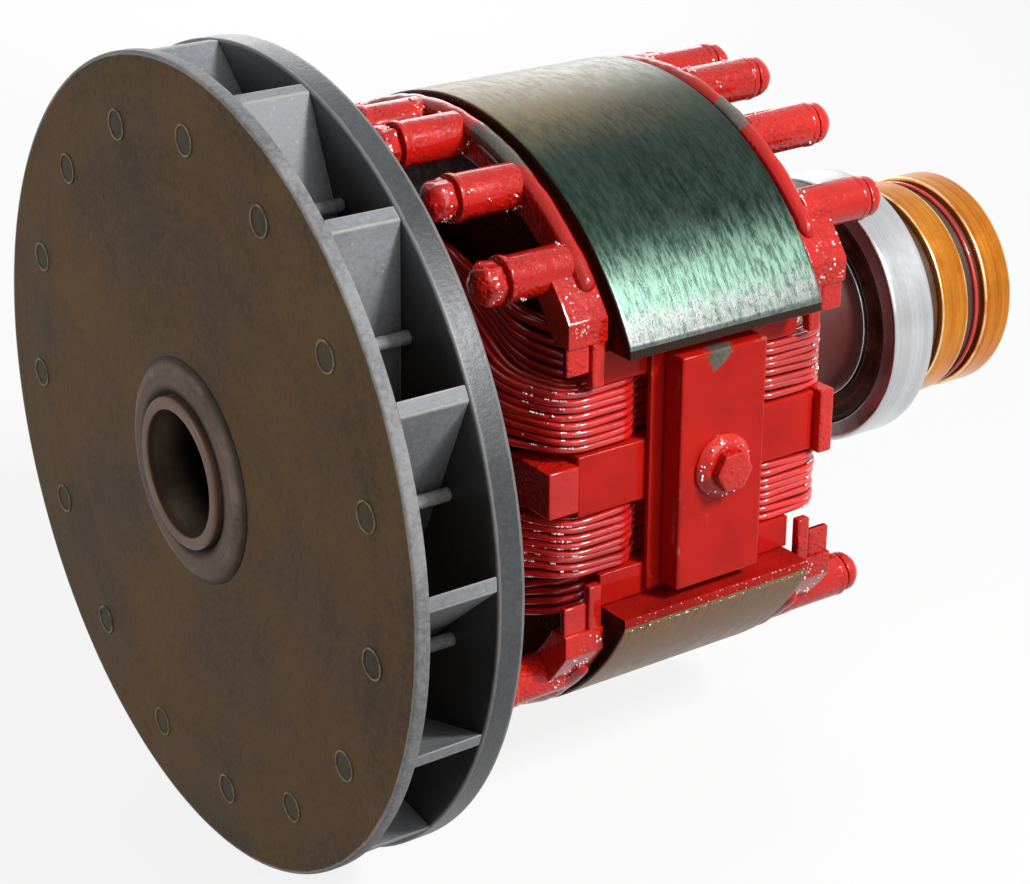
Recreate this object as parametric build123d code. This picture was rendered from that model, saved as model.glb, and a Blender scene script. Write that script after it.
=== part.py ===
from build123d import *
import math
import os

# Wound two-pole generator rotor: fan, hollow shaft, two wound poles, ball bearing and two slip rings.
# Millimetres. The shaft lies along X with the drive end at the origin, and the poles stand along Z.

# Shaft
drive_diameter = 60.0
drive_bore_diameter = 50.0
drive_bore_depth = 120.0
core_seat_diameter = 76.0
bearing_seat_diameter = 65.0
ring_seat_diameter = 62.0
through_hole_diameter = 22.0
shaft_proud = 2.3
shaft_neck_length = 12.0
shaft_chamfer = 1.5

# Fan
fan_diameter = 318.0
boss_proud = 3.2
boss_face_diameter = 82.6
boss_weld_width = 3.2
disc_thickness = 5.5
passage_width = 27.2
ring_thickness = 11.1
ring_width = 54.0
rim_chamfer = 0.8
hub_flange_diameter = 124.0
hub_flange_thickness = 10.0
hub_sleeve_diameter = 92.0
hub_sleeve_length = 24.0
blade_count = 15
blade_thickness = 4.6
blade_lean = 37.0
blade_first_angle = 3.15
blade_depth = 47.0
blade_rim_inset = 0.6
rivet_rim_distance = 26.5
rivet_first_angle = 13.3
rivet_diameter = 5.0
rivet_head_diameter = 8.6
rivet_head_height = 0.8
rivet_clearance = 0.2

# Poles
fan_to_pole_space = 79.1
pole_length = 92.1
pole_diameter = 252.4
pole_span = 224.0
pole_body_width = 142.0
pole_tip_height = 53.0
slot_corner_radius = 3.0

# Pole ends
end_plate_gap = 3.0
end_plate_thickness = 6.5
end_plate_rim_drop = 3.7
end_plate_width = 12.5
end_plate_step = 4.0
end_plate_half_angle = 57.0
end_plate_base_height = 61.0
end_leg_thickness = 4.4
end_leg_drop = 20.6
end_leg_clearance = 0.6
end_pad_length = 17.5
end_pad_angle = 46.5
end_pad_bottom_height = 58.5
end_hook_width = 7.5
end_hook_drop = 11.5
end_hook_recess = 1.0
end_bar_height = 3.0
end_bar_width = 8.0
end_bar_half_angle = 51.5
end_bar_round_share = 0.45

# Coil support studs
stud_rim_distance = 9.2
stud_angles = (6.5, 25.7, 44.9)
stud_diameter = 9.0
stud_clearance = 0.2
sleeve_diameter = 17.5
sleeve_collar_diameter = 19.6
sleeve_collar_width = 3.0
drive_sleeve_reach = 37.5
ring_sleeve_reach = 42.4
nut_diameter = 13.6
nut_length = 11.6
nut_round = 4.8

# Field coils
coil_clearance = 2.0
coil_cover_gap = 0.4
coil_overhang = 32.0
coil_bottom_height = 13.6
coil_height = 25.0
coil_shaft_clearance = 4.0
coil_arch_height = 30.0
coil_corner_radius = 26.0
coil_flat_share = 0.2
coil_rise_share = 0.6

# Interpole clamp: spacer, end blocks, wedges, base plate, cover plate and bolt
spacer_height = 25.0
spacer_length = 116.0
drive_block_length = 14.0
ring_block_length = 7.0
drive_block_reach = 1.0
ring_block_reach = 4.0
drive_block_height = 19.0
ring_block_height = 27.0
wedge_height = 13.4
wedge_overhang = 1.0
wedge_clearance = 0.4
base_width = 53.0
base_height = 100.0
base_thickness = 2.6
cover_width = 41.0
cover_height = 96.0
cover_thickness = 11.0
cover_face_offset = 111.0
cover_chamfer = 0.8
bolt_diameter = 10.0
bolt_head_width = 15.0
bolt_head_height = 6.0
washer_diameter = 27.0
washer_thickness = 2.5
bolt_thread_depth = 20.0
bolt_clearance = 0.3

# Ball bearing
pole_to_bearing_space = 91.55
bearing_width = 23.0
bearing_diameter = 120.0
inner_race_diameter = 80.0
outer_race_inner_diameter = 104.0
race_round = 1.8
seal_inset = 1.2
seal_thickness = 1.6
seal_lip_gap = 0.3

# Slip rings
bearing_to_ring_space = 15.55
slip_ring_diameter = 97.8
slip_ring_width = 15.8
slip_ring_wall = 6.0
slip_ring_space = 10.3
slip_ring_chamfer = 0.8
insulator_collar_diameter = 92.0
insulator_start_gap = 5.0
insulator_end = 2.0

cut_overrun = 1.0

# Places along the shaft
disc_front = shaft_proud + boss_proud
disc_rear = disc_front + disc_thickness
ring_front = disc_rear + passage_width
ring_rear = ring_front + ring_thickness
hub_end = disc_rear + hub_flange_thickness + hub_sleeve_length
pole_start = ring_rear + fan_to_pole_space
pole_end = pole_start + pole_length
pole_middle = (pole_start + pole_end) / 2
bearing_start = pole_end + pole_to_bearing_space
bearing_end = bearing_start + bearing_width
first_ring_start = bearing_end + bearing_to_ring_space
second_ring_start = first_ring_start + slip_ring_width + slip_ring_space
insulator_start = bearing_end + insulator_start_gap
rotor_end = second_ring_start + slip_ring_width + insulator_end

# Sizes across the shaft
ring_inner_diameter = fan_diameter - 2 * ring_width
blade_inner_diameter = fan_diameter - 2 * blade_depth
rivet_circle_diameter = fan_diameter - 2 * rivet_rim_distance
end_plate_diameter = pole_diameter - 2 * end_plate_rim_drop
end_plate_inner_diameter = end_plate_diameter - 2 * end_plate_width
stud_circle_diameter = pole_diameter - 2 * stud_rim_distance
clamp_reach = cover_face_offset - cover_thickness - base_thickness
coil_outer_width = 2 * (clamp_reach - coil_cover_gap)


def save(name, *solids):
    os.makedirs("parts", exist_ok=True)
    piece = solids[0] if len(solids) == 1 else Compound(children=list(solids))
    export_step(piece, f"parts/{name}.step")


def turned(*points):
    """A piece turned about the shaft axis from an outline of (x, radius) points."""
    return revolve(make_face(Polyline(*points, close=True)), axis=Axis.X)


def lengthwise(start, end, outline):
    """An outline across the shaft, run along it."""
    return extrude(Plane.YZ.offset(start) * outline, amount=end - start)


def block(x_range, y_range, z_range):
    size = [high - low for low, high in (x_range, y_range, z_range)]
    middle = [(high + low) / 2 for low, high in (x_range, y_range, z_range)]
    return Pos(*middle) * Box(*size)


def around(solid, angle):
    """A piece made on the -Y side, turned up towards +Z by an angle."""
    return Rot(X=-angle) * solid


def lower(solid):
    """The same piece on the lower pole, half a turn round."""
    return Rot(X=180) * solid


def polar_holes(circle_diameter, hole_diameter, angles, start, end):
    places = [
        Pos(-math.cos(math.radians(angle)) * circle_diameter / 2, math.sin(math.radians(angle)) * circle_diameter / 2)
        for angle in angles
    ]
    return [lengthwise(start, end, place * Circle(hole_diameter / 2)) for place in places]


# Shaft
def make_shaft():
    core_start = hub_end + shaft_neck_length
    return turned(
        (0, drive_bore_diameter / 2),
        (0, drive_diameter / 2 - shaft_chamfer),
        (shaft_chamfer, drive_diameter / 2),
        (core_start, drive_diameter / 2),
        (core_start + shaft_neck_length, core_seat_diameter / 2),
        (bearing_start, core_seat_diameter / 2),
        (bearing_start, bearing_seat_diameter / 2),
        (insulator_start, bearing_seat_diameter / 2),
        (insulator_start, ring_seat_diameter / 2),
        (rotor_end, ring_seat_diameter / 2),
        (rotor_end, through_hole_diameter / 2),
        (drive_bore_depth, through_hole_diameter / 2),
        (drive_bore_depth, drive_bore_diameter / 2),
    )


# Fan
rivet_angles = [rivet_first_angle + step * 360 / blade_count for step in range(blade_count)]
blade_angles = [blade_first_angle + step * 360 / blade_count for step in range(blade_count)]
rivet_hole_diameter = rivet_diameter + 2 * rivet_clearance
boss_base_diameter = boss_face_diameter + 2 * boss_weld_width


def make_fan_hub():
    flange_rear = disc_rear + hub_flange_thickness
    return turned(
        (shaft_proud, drive_diameter / 2),
        (shaft_proud, boss_face_diameter / 2),
        (disc_front, boss_base_diameter / 2),
        (disc_rear, boss_base_diameter / 2),
        (disc_rear, hub_flange_diameter / 2),
        (flange_rear, hub_flange_diameter / 2),
        (flange_rear, hub_sleeve_diameter / 2),
        (hub_end, hub_sleeve_diameter / 2),
        (hub_end, drive_diameter / 2),
    )


def make_rim_plate(start, end, inner_diameter):
    """A flat round plate of the fan, with broken rim edges and a circle of rivet holes."""
    plate = turned(
        (start, inner_diameter / 2),
        (start, fan_diameter / 2 - rim_chamfer),
        (start + rim_chamfer, fan_diameter / 2),
        (end - rim_chamfer, fan_diameter / 2),
        (end, fan_diameter / 2 - rim_chamfer),
        (end, inner_diameter / 2),
    )
    for hole in polar_holes(rivet_circle_diameter, rivet_hole_diameter, rivet_angles, start, end):
        plate -= hole
    return plate


def make_blade(angle):
    """A flat blade that leans back from the radius, trimmed to the rim and to the fan's eye."""
    lean = math.radians(blade_lean)
    rim = fan_diameter / 2
    eye = blade_inner_diameter / 2
    length = rim * math.cos(lean) - math.sqrt(eye**2 - (rim * math.sin(lean)) ** 2)
    strip = Rot(Z=-blade_lean) * Pos(length / 2, 0) * Rectangle(length + 2 * blade_thickness, blade_thickness)
    wheel = Circle(rim - blade_rim_inset) - Circle(eye)
    return around(lengthwise(disc_rear, ring_front, (Pos(-rim, 0) * strip) & wheel), angle)


def make_rivet(angle):
    rivet = turned(
        (disc_front - rivet_head_height, 0),
        (disc_front - rivet_head_height, rivet_diameter / 2),
        (disc_front, rivet_head_diameter / 2),
        (disc_front, rivet_diameter / 2),
        (ring_rear, rivet_diameter / 2),
        (ring_rear, rivet_head_diameter / 2),
        (ring_rear + rivet_head_height, rivet_diameter / 2),
        (ring_rear + rivet_head_height, 0),
    )
    return around(Pos(0, -rivet_circle_diameter / 2, 0) * rivet, angle)


# Poles
stud_pole_angles = [90 + side * angle for side in (-1, 1) for angle in stud_angles]
stud_hole_diameter = stud_diameter + 2 * stud_clearance


def stud_holes(start, end):
    return polar_holes(stud_circle_diameter, stud_hole_diameter, stud_pole_angles, start, end)


def make_pole_core():
    """Lamination stack: two round-faced poles on a flat-sided body, with a winding slot on each side."""
    slot_depth = (pole_span - pole_body_width) / 2 + cut_overrun
    slot_place = pole_body_width / 2 + slot_depth / 2
    slot = Rectangle(slot_depth, 2 * pole_tip_height)
    slot_bottom = slot.vertices().sort_by(Axis.X)[:2]
    slot = fillet(slot_bottom, slot_corner_radius)
    outline = Circle(pole_diameter / 2) & Rectangle(pole_span, pole_diameter)
    outline -= Pos(slot_place, 0) * slot
    outline -= Pos(-slot_place, 0) * Rot(Z=180) * slot
    outline -= Circle(core_seat_diameter / 2)
    core = lengthwise(pole_start, pole_end, outline)
    for hole in stud_holes(pole_start, pole_end):
        core -= hole
        core -= lower(hole)
    bolt_hole = radial_hole(bolt_hole_diameter, pole_body_width / 2 - bolt_thread_depth, pole_body_width / 2)
    return core - bolt_hole - lower(bolt_hole)


def opening(reach, half_angle):
    """A triangle that opens upwards from the shaft, by an angle to each side of the upper pole's middle."""
    side = reach * math.tan(math.radians(half_angle))
    return make_face(Polyline((0, 0), (side, reach), (-side, reach), close=True))


def sector(outer_diameter, inner_diameter, half_angle):
    """A ring cut to the part within an angle of the upper pole's middle."""
    ring = Circle(outer_diameter / 2) - Circle(inner_diameter / 2)
    return ring & opening(outer_diameter / 2, half_angle)


def above(bottom, width, outline):
    """The part of an outline above a height and within a width."""
    height = end_plate_diameter
    return outline & (Pos(0, bottom + height / 2) * Rectangle(width, height))


def end_face(side):
    """The pole end that a side faces, -1 towards the fan and +1 towards the slip rings."""
    return pole_start if side < 0 else pole_end


def paired(outline):
    """An outline on the +Y side together with its mirror image on the -Y side."""
    return outline + mirror(outline, about=Plane.YZ)


def make_end_plate(side):
    """Arched plate on a pole's end. It steps back at the laminations and ends in pads with two legs each."""
    face = end_face(side)
    inner = face + side * end_plate_gap
    outer = inner + side * end_plate_thickness
    pad_end = inner + side * end_pad_length
    leg_inner = coil_outer_width / 2 + end_leg_clearance
    leg_outer = leg_inner + end_leg_thickness
    foot_diameter = end_plate_diameter - 2 * end_plate_step
    rim = sector(end_plate_diameter, end_plate_inner_diameter, end_plate_half_angle)
    foot = sector(foot_diameter, end_plate_inner_diameter, end_plate_half_angle)
    band = Circle(end_plate_diameter / 2) - Circle(end_plate_inner_diameter / 2)
    pads = above(end_pad_bottom_height, 2 * leg_outer, band - opening(end_plate_diameter / 2, end_pad_angle))
    leg = Pos((leg_inner + leg_outer) / 2, end_plate_base_height) * Rectangle(end_leg_thickness, 2 * end_leg_drop)
    hook_thickness = end_leg_thickness - end_hook_recess
    hook = Pos(leg_inner + hook_thickness / 2, end_pad_bottom_height) * Rectangle(hook_thickness, 2 * end_hook_drop)
    rim = above(end_plate_base_height, 2 * end_plate_diameter, rim)
    foot = above(end_plate_base_height, 2 * end_plate_diameter, foot)
    widened = lengthwise(inner, pad_end, pads)
    widened += lengthwise(pad_end - side * end_hook_width, pad_end, paired(hook) & Circle(end_plate_diameter / 2))
    room = sleeve_diameter + 2 * stud_clearance
    for hole in polar_holes(stud_circle_diameter, room, stud_pole_angles, min(outer, pad_end), max(outer, pad_end)):
        widened -= hole
    plate = lengthwise(inner, outer, rim + (paired(leg) & Circle(end_plate_diameter / 2)))
    plate += lengthwise(face, inner, foot)
    plate += widened
    for hole in stud_holes(min(face, outer), max(face, outer)):
        plate -= hole
    return plate


def make_end_bar(side):
    """Arched bar with rounded ends, lying on the plate's rim."""
    start = end_face(side) + side * end_plate_gap
    bar = lengthwise(
        start,
        start + side * end_bar_width,
        sector(end_plate_diameter + 2 * end_bar_height, end_plate_diameter, end_bar_half_angle),
    )
    corners = bar.edges().filter_by(GeomType.LINE).filter_by(Axis.X, reverse=True)
    return fillet(corners, end_bar_width * end_bar_round_share)


# Coil support studs
def make_stud(angle):
    """Through stud with a round-ended nut at each end."""
    drive_nut = pole_start - drive_sleeve_reach
    ring_nut = pole_end + ring_sleeve_reach
    rod = stud_diameter / 2
    nut = nut_diameter / 2
    stud = turned(
        (drive_nut - nut_length, 0),
        (drive_nut - nut_length, nut),
        (drive_nut, nut),
        (drive_nut, rod),
        (ring_nut, rod),
        (ring_nut, nut),
        (ring_nut + nut_length, nut),
        (ring_nut + nut_length, 0),
    )
    rims = stud.edges().filter_by(GeomType.CIRCLE).sort_by(Axis.X)
    stud = fillet([rims[0], rims[-1]], nut_round)
    return around(Pos(0, -stud_circle_diameter / 2, 0) * stud, angle)


def make_sleeve(side, angle):
    """Tube over the stud, from the rim bar to a collar at its free end. It carries the coil's end turns."""
    seat = end_face(side) + side * (end_plate_gap + end_bar_width)
    free_end = pole_start - drive_sleeve_reach if side < 0 else pole_end + ring_sleeve_reach
    collar = free_end - side * sleeve_collar_width
    sleeve = turned(
        (seat, stud_hole_diameter / 2),
        (seat, sleeve_diameter / 2),
        (collar, sleeve_diameter / 2),
        (collar, sleeve_collar_diameter / 2),
        (free_end, sleeve_collar_diameter / 2),
        (free_end, stud_hole_diameter / 2),
    )
    return around(Pos(0, -stud_circle_diameter / 2, 0) * sleeve, angle)


# Field coils
def make_coil():
    """Saddle coil round the upper pole: straight sides in the slots, and end turns that arch over the shaft."""
    outer_length = pole_length + 2 * coil_overhang
    inner_length = pole_length + 2 * coil_clearance
    inner_width = pole_body_width + 2 * coil_clearance
    half_width = coil_outer_width / 2
    top = coil_bottom_height + coil_height
    arch_bottom = core_seat_diameter / 2 + coil_shaft_clearance
    flat_end = half_width * (1 - coil_flat_share)
    rise = half_width * (1 - coil_rise_share)
    rise_height = (coil_bottom_height + arch_bottom) / 2
    underside = Spline(
        (-flat_end, coil_bottom_height),
        (-rise, rise_height),
        (0, arch_bottom),
        (rise, rise_height),
        (flat_end, coil_bottom_height),
        tangents=((1, 0), (1, 0)),
    )
    arch = make_face(
        underside
        + Line((flat_end, coil_bottom_height), (half_width, coil_bottom_height))
        + Line((half_width, coil_bottom_height), (half_width, top))
        + ThreePointArc((half_width, top), (0, arch_bottom + coil_arch_height), (-half_width, top))
        + Line((-half_width, top), (-half_width, coil_bottom_height))
        + Line((-half_width, coil_bottom_height), (-flat_end, coil_bottom_height))
    )
    first_turn = lengthwise(pole_middle - outer_length / 2, pole_middle - inner_length / 2, arch)
    second_turn = lengthwise(pole_middle + inner_length / 2, pole_middle + outer_length / 2, arch)
    sides = [
        block(
            (pole_middle - inner_length / 2, pole_middle + inner_length / 2),
            sorted((hand * inner_width / 2, hand * half_width)),
            (coil_bottom_height, top),
        )
        for hand in (-1, 1)
    ]
    outside = Pos(pole_middle, 0) * RectangleRounded(outer_length, coil_outer_width, coil_corner_radius)
    envelope = extrude(outside, amount=arch_bottom + coil_arch_height)
    return (first_turn + sides[0] + second_turn + sides[1]) & envelope


# Interpole clamp
def make_spacer():
    spacer = block(
        (pole_middle - spacer_length / 2, pole_middle + spacer_length / 2),
        (-clamp_reach, -pole_body_width / 2),
        (-spacer_height / 2, spacer_height / 2),
    )
    return spacer - radial_hole(bolt_hole_diameter, pole_body_width / 2, clamp_reach)


def make_end_blocks():
    drive_face = pole_middle - spacer_length / 2
    ring_face = pole_middle + spacer_length / 2
    drive_block = block(
        (drive_face - drive_block_length, drive_face),
        (-clamp_reach - drive_block_reach, -pole_body_width / 2),
        (-drive_block_height / 2, drive_block_height / 2),
    )
    ring_block = block(
        (ring_face, ring_face + ring_block_length),
        (-clamp_reach - ring_block_reach, -pole_body_width / 2),
        (-ring_block_height / 2, ring_block_height / 2),
    )
    return drive_block, ring_block


def make_wedge(side):
    top = side * (pole_tip_height - wedge_clearance)
    bottom = top - side * wedge_height
    return block(
        (pole_start - wedge_overhang, pole_end + wedge_overhang),
        (-clamp_reach, -pole_body_width / 2 - slot_corner_radius),
        (min(top, bottom), max(top, bottom)),
    )


def radial_hole(diameter, start, end):
    return Pos(pole_middle, 0, 0) * extrude(Plane.XZ.offset(start) * Circle(diameter / 2), amount=end - start)


bolt_hole_diameter = bolt_diameter + 2 * bolt_clearance


def make_base_plate():
    outer = cover_face_offset - cover_thickness
    plate = block(
        (pole_middle - base_width / 2, pole_middle + base_width / 2),
        (-outer, -outer + base_thickness),
        (-base_height / 2, base_height / 2),
    )
    return plate - radial_hole(bolt_hole_diameter, outer - base_thickness, outer)


def make_cover_plate():
    plate = block(
        (pole_middle - cover_width / 2, pole_middle + cover_width / 2),
        (-cover_face_offset, -cover_face_offset + cover_thickness),
        (-cover_height / 2, cover_height / 2),
    )
    plate = chamfer(plate.faces().sort_by(Axis.Y)[0].edges(), cover_chamfer)
    return plate - radial_hole(bolt_hole_diameter, cover_face_offset - cover_thickness, cover_face_offset)


def make_cover_bolt():
    """Hexagon bolt and washer, through the plates and the spacer into the pole body."""
    tip = pole_body_width / 2 - bolt_thread_depth
    washer_top = cover_face_offset + washer_thickness
    shank = radial_hole(bolt_diameter, tip, washer_top)
    washer = radial_hole(washer_diameter, cover_face_offset, washer_top)
    hexagon = RegularPolygon(bolt_head_width / 2, 6, major_radius=False)
    head = Pos(pole_middle, 0, 0) * extrude(Plane.XZ.offset(washer_top) * hexagon, amount=bolt_head_height)
    return shank + washer + head


# Ball bearing
def make_bearing():
    inner = lengthwise(
        bearing_start, bearing_end, Circle(inner_race_diameter / 2) - Circle(bearing_seat_diameter / 2)
    )
    outer = turned(
        (bearing_start, outer_race_inner_diameter / 2),
        (bearing_start, bearing_diameter / 2 - race_round),
        (bearing_start + race_round, bearing_diameter / 2),
        (bearing_end - race_round, bearing_diameter / 2),
        (bearing_end, bearing_diameter / 2 - race_round),
        (bearing_end, outer_race_inner_diameter / 2),
    )
    seal_ring = Circle(outer_race_inner_diameter / 2) - Circle(inner_race_diameter / 2 + seal_lip_gap)
    drive_seal = bearing_start + seal_inset
    ring_seal = bearing_end - seal_inset
    seals = (
        lengthwise(drive_seal, drive_seal + seal_thickness, seal_ring),
        lengthwise(ring_seal - seal_thickness, ring_seal, seal_ring),
    )
    return inner, outer, seals


# Slip rings
def make_insulator():
    seat = ring_seat_diameter / 2
    core = slip_ring_diameter / 2 - slip_ring_wall
    collar = insulator_collar_diameter / 2
    first_end = first_ring_start + slip_ring_width
    second_end = second_ring_start + slip_ring_width
    return turned(
        (insulator_start, seat),
        (insulator_start, collar),
        (first_ring_start, collar),
        (first_ring_start, core),
        (first_end, core),
        (first_end, collar),
        (second_ring_start, collar),
        (second_ring_start, core),
        (second_end, core),
        (second_end, collar),
        (rotor_end, collar),
        (rotor_end, seat),
    )


def make_slip_ring(start):
    end = start + slip_ring_width
    outer = slip_ring_diameter / 2
    return turned(
        (start, outer - slip_ring_wall),
        (start, outer - slip_ring_chamfer),
        (start + slip_ring_chamfer, outer),
        (end - slip_ring_chamfer, outer),
        (end, outer - slip_ring_chamfer),
        (end, outer - slip_ring_wall),
    )


save("shaft", make_shaft())
save("fan_hub", make_fan_hub())
save("fan_disc", make_rim_plate(disc_front, disc_rear, boss_base_diameter))
save("fan_ring", make_rim_plate(ring_front, ring_rear, ring_inner_diameter))
save("fan_blades", *[make_blade(angle) for angle in blade_angles])
save("fan_rivets", *[make_rivet(angle) for angle in rivet_angles])

save("pole_core", make_pole_core())
for side, end_name in ((-1, "drive"), (1, "ring")):
    plate = make_end_plate(side)
    bar = make_end_bar(side)
    sleeves = [make_sleeve(side, angle) for angle in stud_pole_angles]
    save(f"upper_{end_name}_end_plate", plate)
    save(f"lower_{end_name}_end_plate", lower(plate))
    save(f"upper_{end_name}_end_bar", bar)
    save(f"lower_{end_name}_end_bar", lower(bar))
    save(f"upper_{end_name}_sleeves", *sleeves)
    save(f"lower_{end_name}_sleeves", *[lower(sleeve) for sleeve in sleeves])

studs = [make_stud(angle) for angle in stud_pole_angles]
save("upper_studs", *studs)
save("lower_studs", *[lower(stud) for stud in studs])

coil = make_coil()
save("upper_field_coil", coil)
save("lower_field_coil", lower(coil))

clamp = {
    "spacer": [make_spacer()],
    "end_blocks": make_end_blocks(),
    "slot_wedges": [make_wedge(side) for side in (1, -1)],
    "base_plate": [make_base_plate()],
    "cover_plate": [make_cover_plate()],
    "cover_bolt": [make_cover_bolt()],
}
for name, solids in clamp.items():
    save(f"front_{name}", *solids)
    save(f"rear_{name}", *[lower(solid) for solid in solids])

inner_race, outer_race, seals = make_bearing()
save("bearing_inner_race", inner_race)
save("bearing_outer_race", outer_race)
save("bearing_seals", *seals)

save("slip_ring_insulator", make_insulator())
save("inboard_slip_ring", make_slip_ring(first_ring_start))
save("outboard_slip_ring", make_slip_ring(second_ring_start))
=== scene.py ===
# %% [markdown]
# # Dressing a wound generator rotor
# A rotor is the turning half of a generator. This one carries a riveted fan, two poles wound with varnished
# wire, a ball bearing and two slip rings on one hollow shaft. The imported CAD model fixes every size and
# place, so it is loaded first and never moved. The lesson then lays a finer skin over it, one piece at a
# time.

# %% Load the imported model
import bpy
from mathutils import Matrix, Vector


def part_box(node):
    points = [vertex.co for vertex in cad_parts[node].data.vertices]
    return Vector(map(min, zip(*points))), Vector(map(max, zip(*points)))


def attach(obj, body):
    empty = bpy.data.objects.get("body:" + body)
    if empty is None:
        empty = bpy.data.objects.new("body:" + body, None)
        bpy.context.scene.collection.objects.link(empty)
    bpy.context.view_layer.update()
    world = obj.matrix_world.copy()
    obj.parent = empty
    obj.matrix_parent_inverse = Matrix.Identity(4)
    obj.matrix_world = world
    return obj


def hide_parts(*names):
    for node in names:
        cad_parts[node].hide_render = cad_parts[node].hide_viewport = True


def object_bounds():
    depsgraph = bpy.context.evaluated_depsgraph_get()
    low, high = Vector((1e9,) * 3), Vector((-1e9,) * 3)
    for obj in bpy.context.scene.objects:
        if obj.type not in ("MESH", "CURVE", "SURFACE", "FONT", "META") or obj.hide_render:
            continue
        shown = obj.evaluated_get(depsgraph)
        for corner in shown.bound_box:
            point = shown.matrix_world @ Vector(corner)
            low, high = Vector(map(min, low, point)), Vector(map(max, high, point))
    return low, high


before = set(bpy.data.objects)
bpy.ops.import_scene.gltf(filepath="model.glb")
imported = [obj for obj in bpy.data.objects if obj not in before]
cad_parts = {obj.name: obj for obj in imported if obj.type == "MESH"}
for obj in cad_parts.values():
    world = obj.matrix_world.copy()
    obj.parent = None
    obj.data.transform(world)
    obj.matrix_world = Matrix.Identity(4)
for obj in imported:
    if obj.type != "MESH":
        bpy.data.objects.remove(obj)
cad_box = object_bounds()

# %% [markdown]
# The camera comes before any piece, because every later choice is judged through it. Its place and lens
# were worked out from the rim circles of the fan, the bearing and the slip rings, so the picture needs no
# shift and no roll.

# %% Camera
import bpy
import math
from mathutils import Vector

scene = bpy.context.scene
scene.view_settings.view_transform = "Standard"


def add_object(name, data, place=(0, 0, 0), looking=None):
    """Puts data into the scene as an object, turned to look along a direction if one is given."""
    item = bpy.data.objects.new(name, data)
    item.location = place
    if looking is not None:
        item.rotation_euler = looking.to_track_quat("-Z", "Y").to_euler()
    scene.collection.objects.link(item)
    return item


camera_place = (-0.3661, -0.7484, 0.3702)
camera_aim = Vector((0.5247, 0.7526, -0.3977))
camera_data = bpy.data.cameras.new("photo_camera")
camera_data.sensor_fit = "HORIZONTAL"
camera_data.sensor_width = 36
camera_data.lens = 83.497
scene.camera = add_object("photo_camera", camera_data, camera_place, camera_aim)
print("camera lens:", camera_data.lens)

# %% [markdown]
# Materials are long chains of nodes. Adding a node, setting its values and wiring its inputs are the same
# three acts every time, so one helper does all three: an input that is given a socket is wired, any other
# value is just set. The commonest nodes get a short call of their own.

# %% Node helpers
class Wiring:
    """A node tree and short ways to add nodes to it."""

    def __init__(self, tree):
        self.tree = tree

    def put(self, socket, value):
        if isinstance(value, bpy.types.NodeSocket):
            self.tree.links.new(value, socket)
        else:
            socket.default_value = value

    def add(self, kind, inputs=None, **settings):
        node = self.tree.nodes.new(kind)
        for name, value in settings.items():
            setattr(node, name, value)
        for name, value in (inputs or {}).items():
            self.put(node.inputs[name], value)
        return node

    def maths(self, operation, first, second=0.0):
        return self.add("ShaderNodeMath", {0: first, 1: second, 2: 0.0}, operation=operation).outputs[0]

    def times(self, first, second):
        return self.maths("MULTIPLY", first, second)

    def remap(self, value, low, high, to_low=0.0, to_high=1.0):
        """A value brought from one range to another, with soft ends."""
        inputs = {"Value": value, "From Min": low, "From Max": high, "To Min": to_low, "To Max": to_high}
        return self.add("ShaderNodeMapRange", inputs, interpolation_type="SMOOTHSTEP").outputs[0]

    def mix(self, share, first, second, blend="MIX"):
        """Two colours mixed, each of them a socket or three numbers."""
        first, second = [(*item, 1) if isinstance(item, tuple) else item for item in (first, second)]
        inputs = {0: share, 6: first, 7: second}
        return self.add("ShaderNodeMix", inputs, data_type="RGBA", blend_type=blend).outputs[2]

    def noise(self, place, scale, detail=4.0, roughness=0.55):
        inputs = {"Vector": place, "Scale": scale, "Detail": detail, "Roughness": roughness}
        return self.add("ShaderNodeTexNoise", inputs).outputs[0]

    def use(self, group, **inputs):
        """A node group placed in this tree with its own values. Gives back its outputs."""
        values = {label.replace("_", " ").capitalize(): value for label, value in inputs.items()}
        return self.add("ShaderNodeGroup", values, node_tree=group.tree).outputs


print("node helpers ready")

# %% [markdown]
# Each finish starts from a fresh material whose Principled shader keeps its plain numbers on its own
# sockets. Only what changes over the surface is wired in: colour, roughness, metal and the bump.

# %% Finish helper
class Finish(Wiring):
    """A new material. Socket names are given with _ for each space."""

    def __init__(self, name, **sockets):
        self.material = bpy.data.materials.new(name)
        self.material.use_nodes = True
        super().__init__(self.material.node_tree)
        self.shader = self.tree.nodes["Principled BSDF"]
        self.surface(**sockets)

    def surface(self, **sockets):
        for label, value in sockets.items():
            self.put(self.shader.inputs[label.replace("_", " ")], value)

    def bump(self, height, distance):
        node = self.add("ShaderNodeBump", {"Height": height, "Distance": distance, "Strength": 1.0})
        self.surface(Normal=node.outputs[0])


print("finish helper ready")

# %% [markdown]
# A studio for a catalogue picture is a pale room with soft lamps. The room and its floor show white to the
# camera and to polished metal, and light the shadows only gently, so both need to know which kind of ray is
# asking.

# %% Room and floor
def shown_rays(wiring):
    """1 for rays that show the room itself, directly, in metal or through glass, and 0 for its light."""
    rays = wiring.add("ShaderNodeLightPath").outputs
    shown = wiring.maths("MAXIMUM", rays["Is Camera Ray"], rays["Is Glossy Ray"])
    return wiring.maths("MAXIMUM", shown, rays["Is Transmission Ray"])


room_glow = 0.06
room = bpy.data.worlds.new("pale_room")
room.use_nodes = True
scene.world = room
room_wiring = Wiring(room.node_tree)
room_light = room.node_tree.nodes["Background"].inputs
room_wiring.put(room_light["Color"], (1, 1, 1, 1))
room_wiring.put(room_light["Strength"], room_wiring.remap(shown_rays(room_wiring), 0, 1, room_glow, 1))

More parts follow.
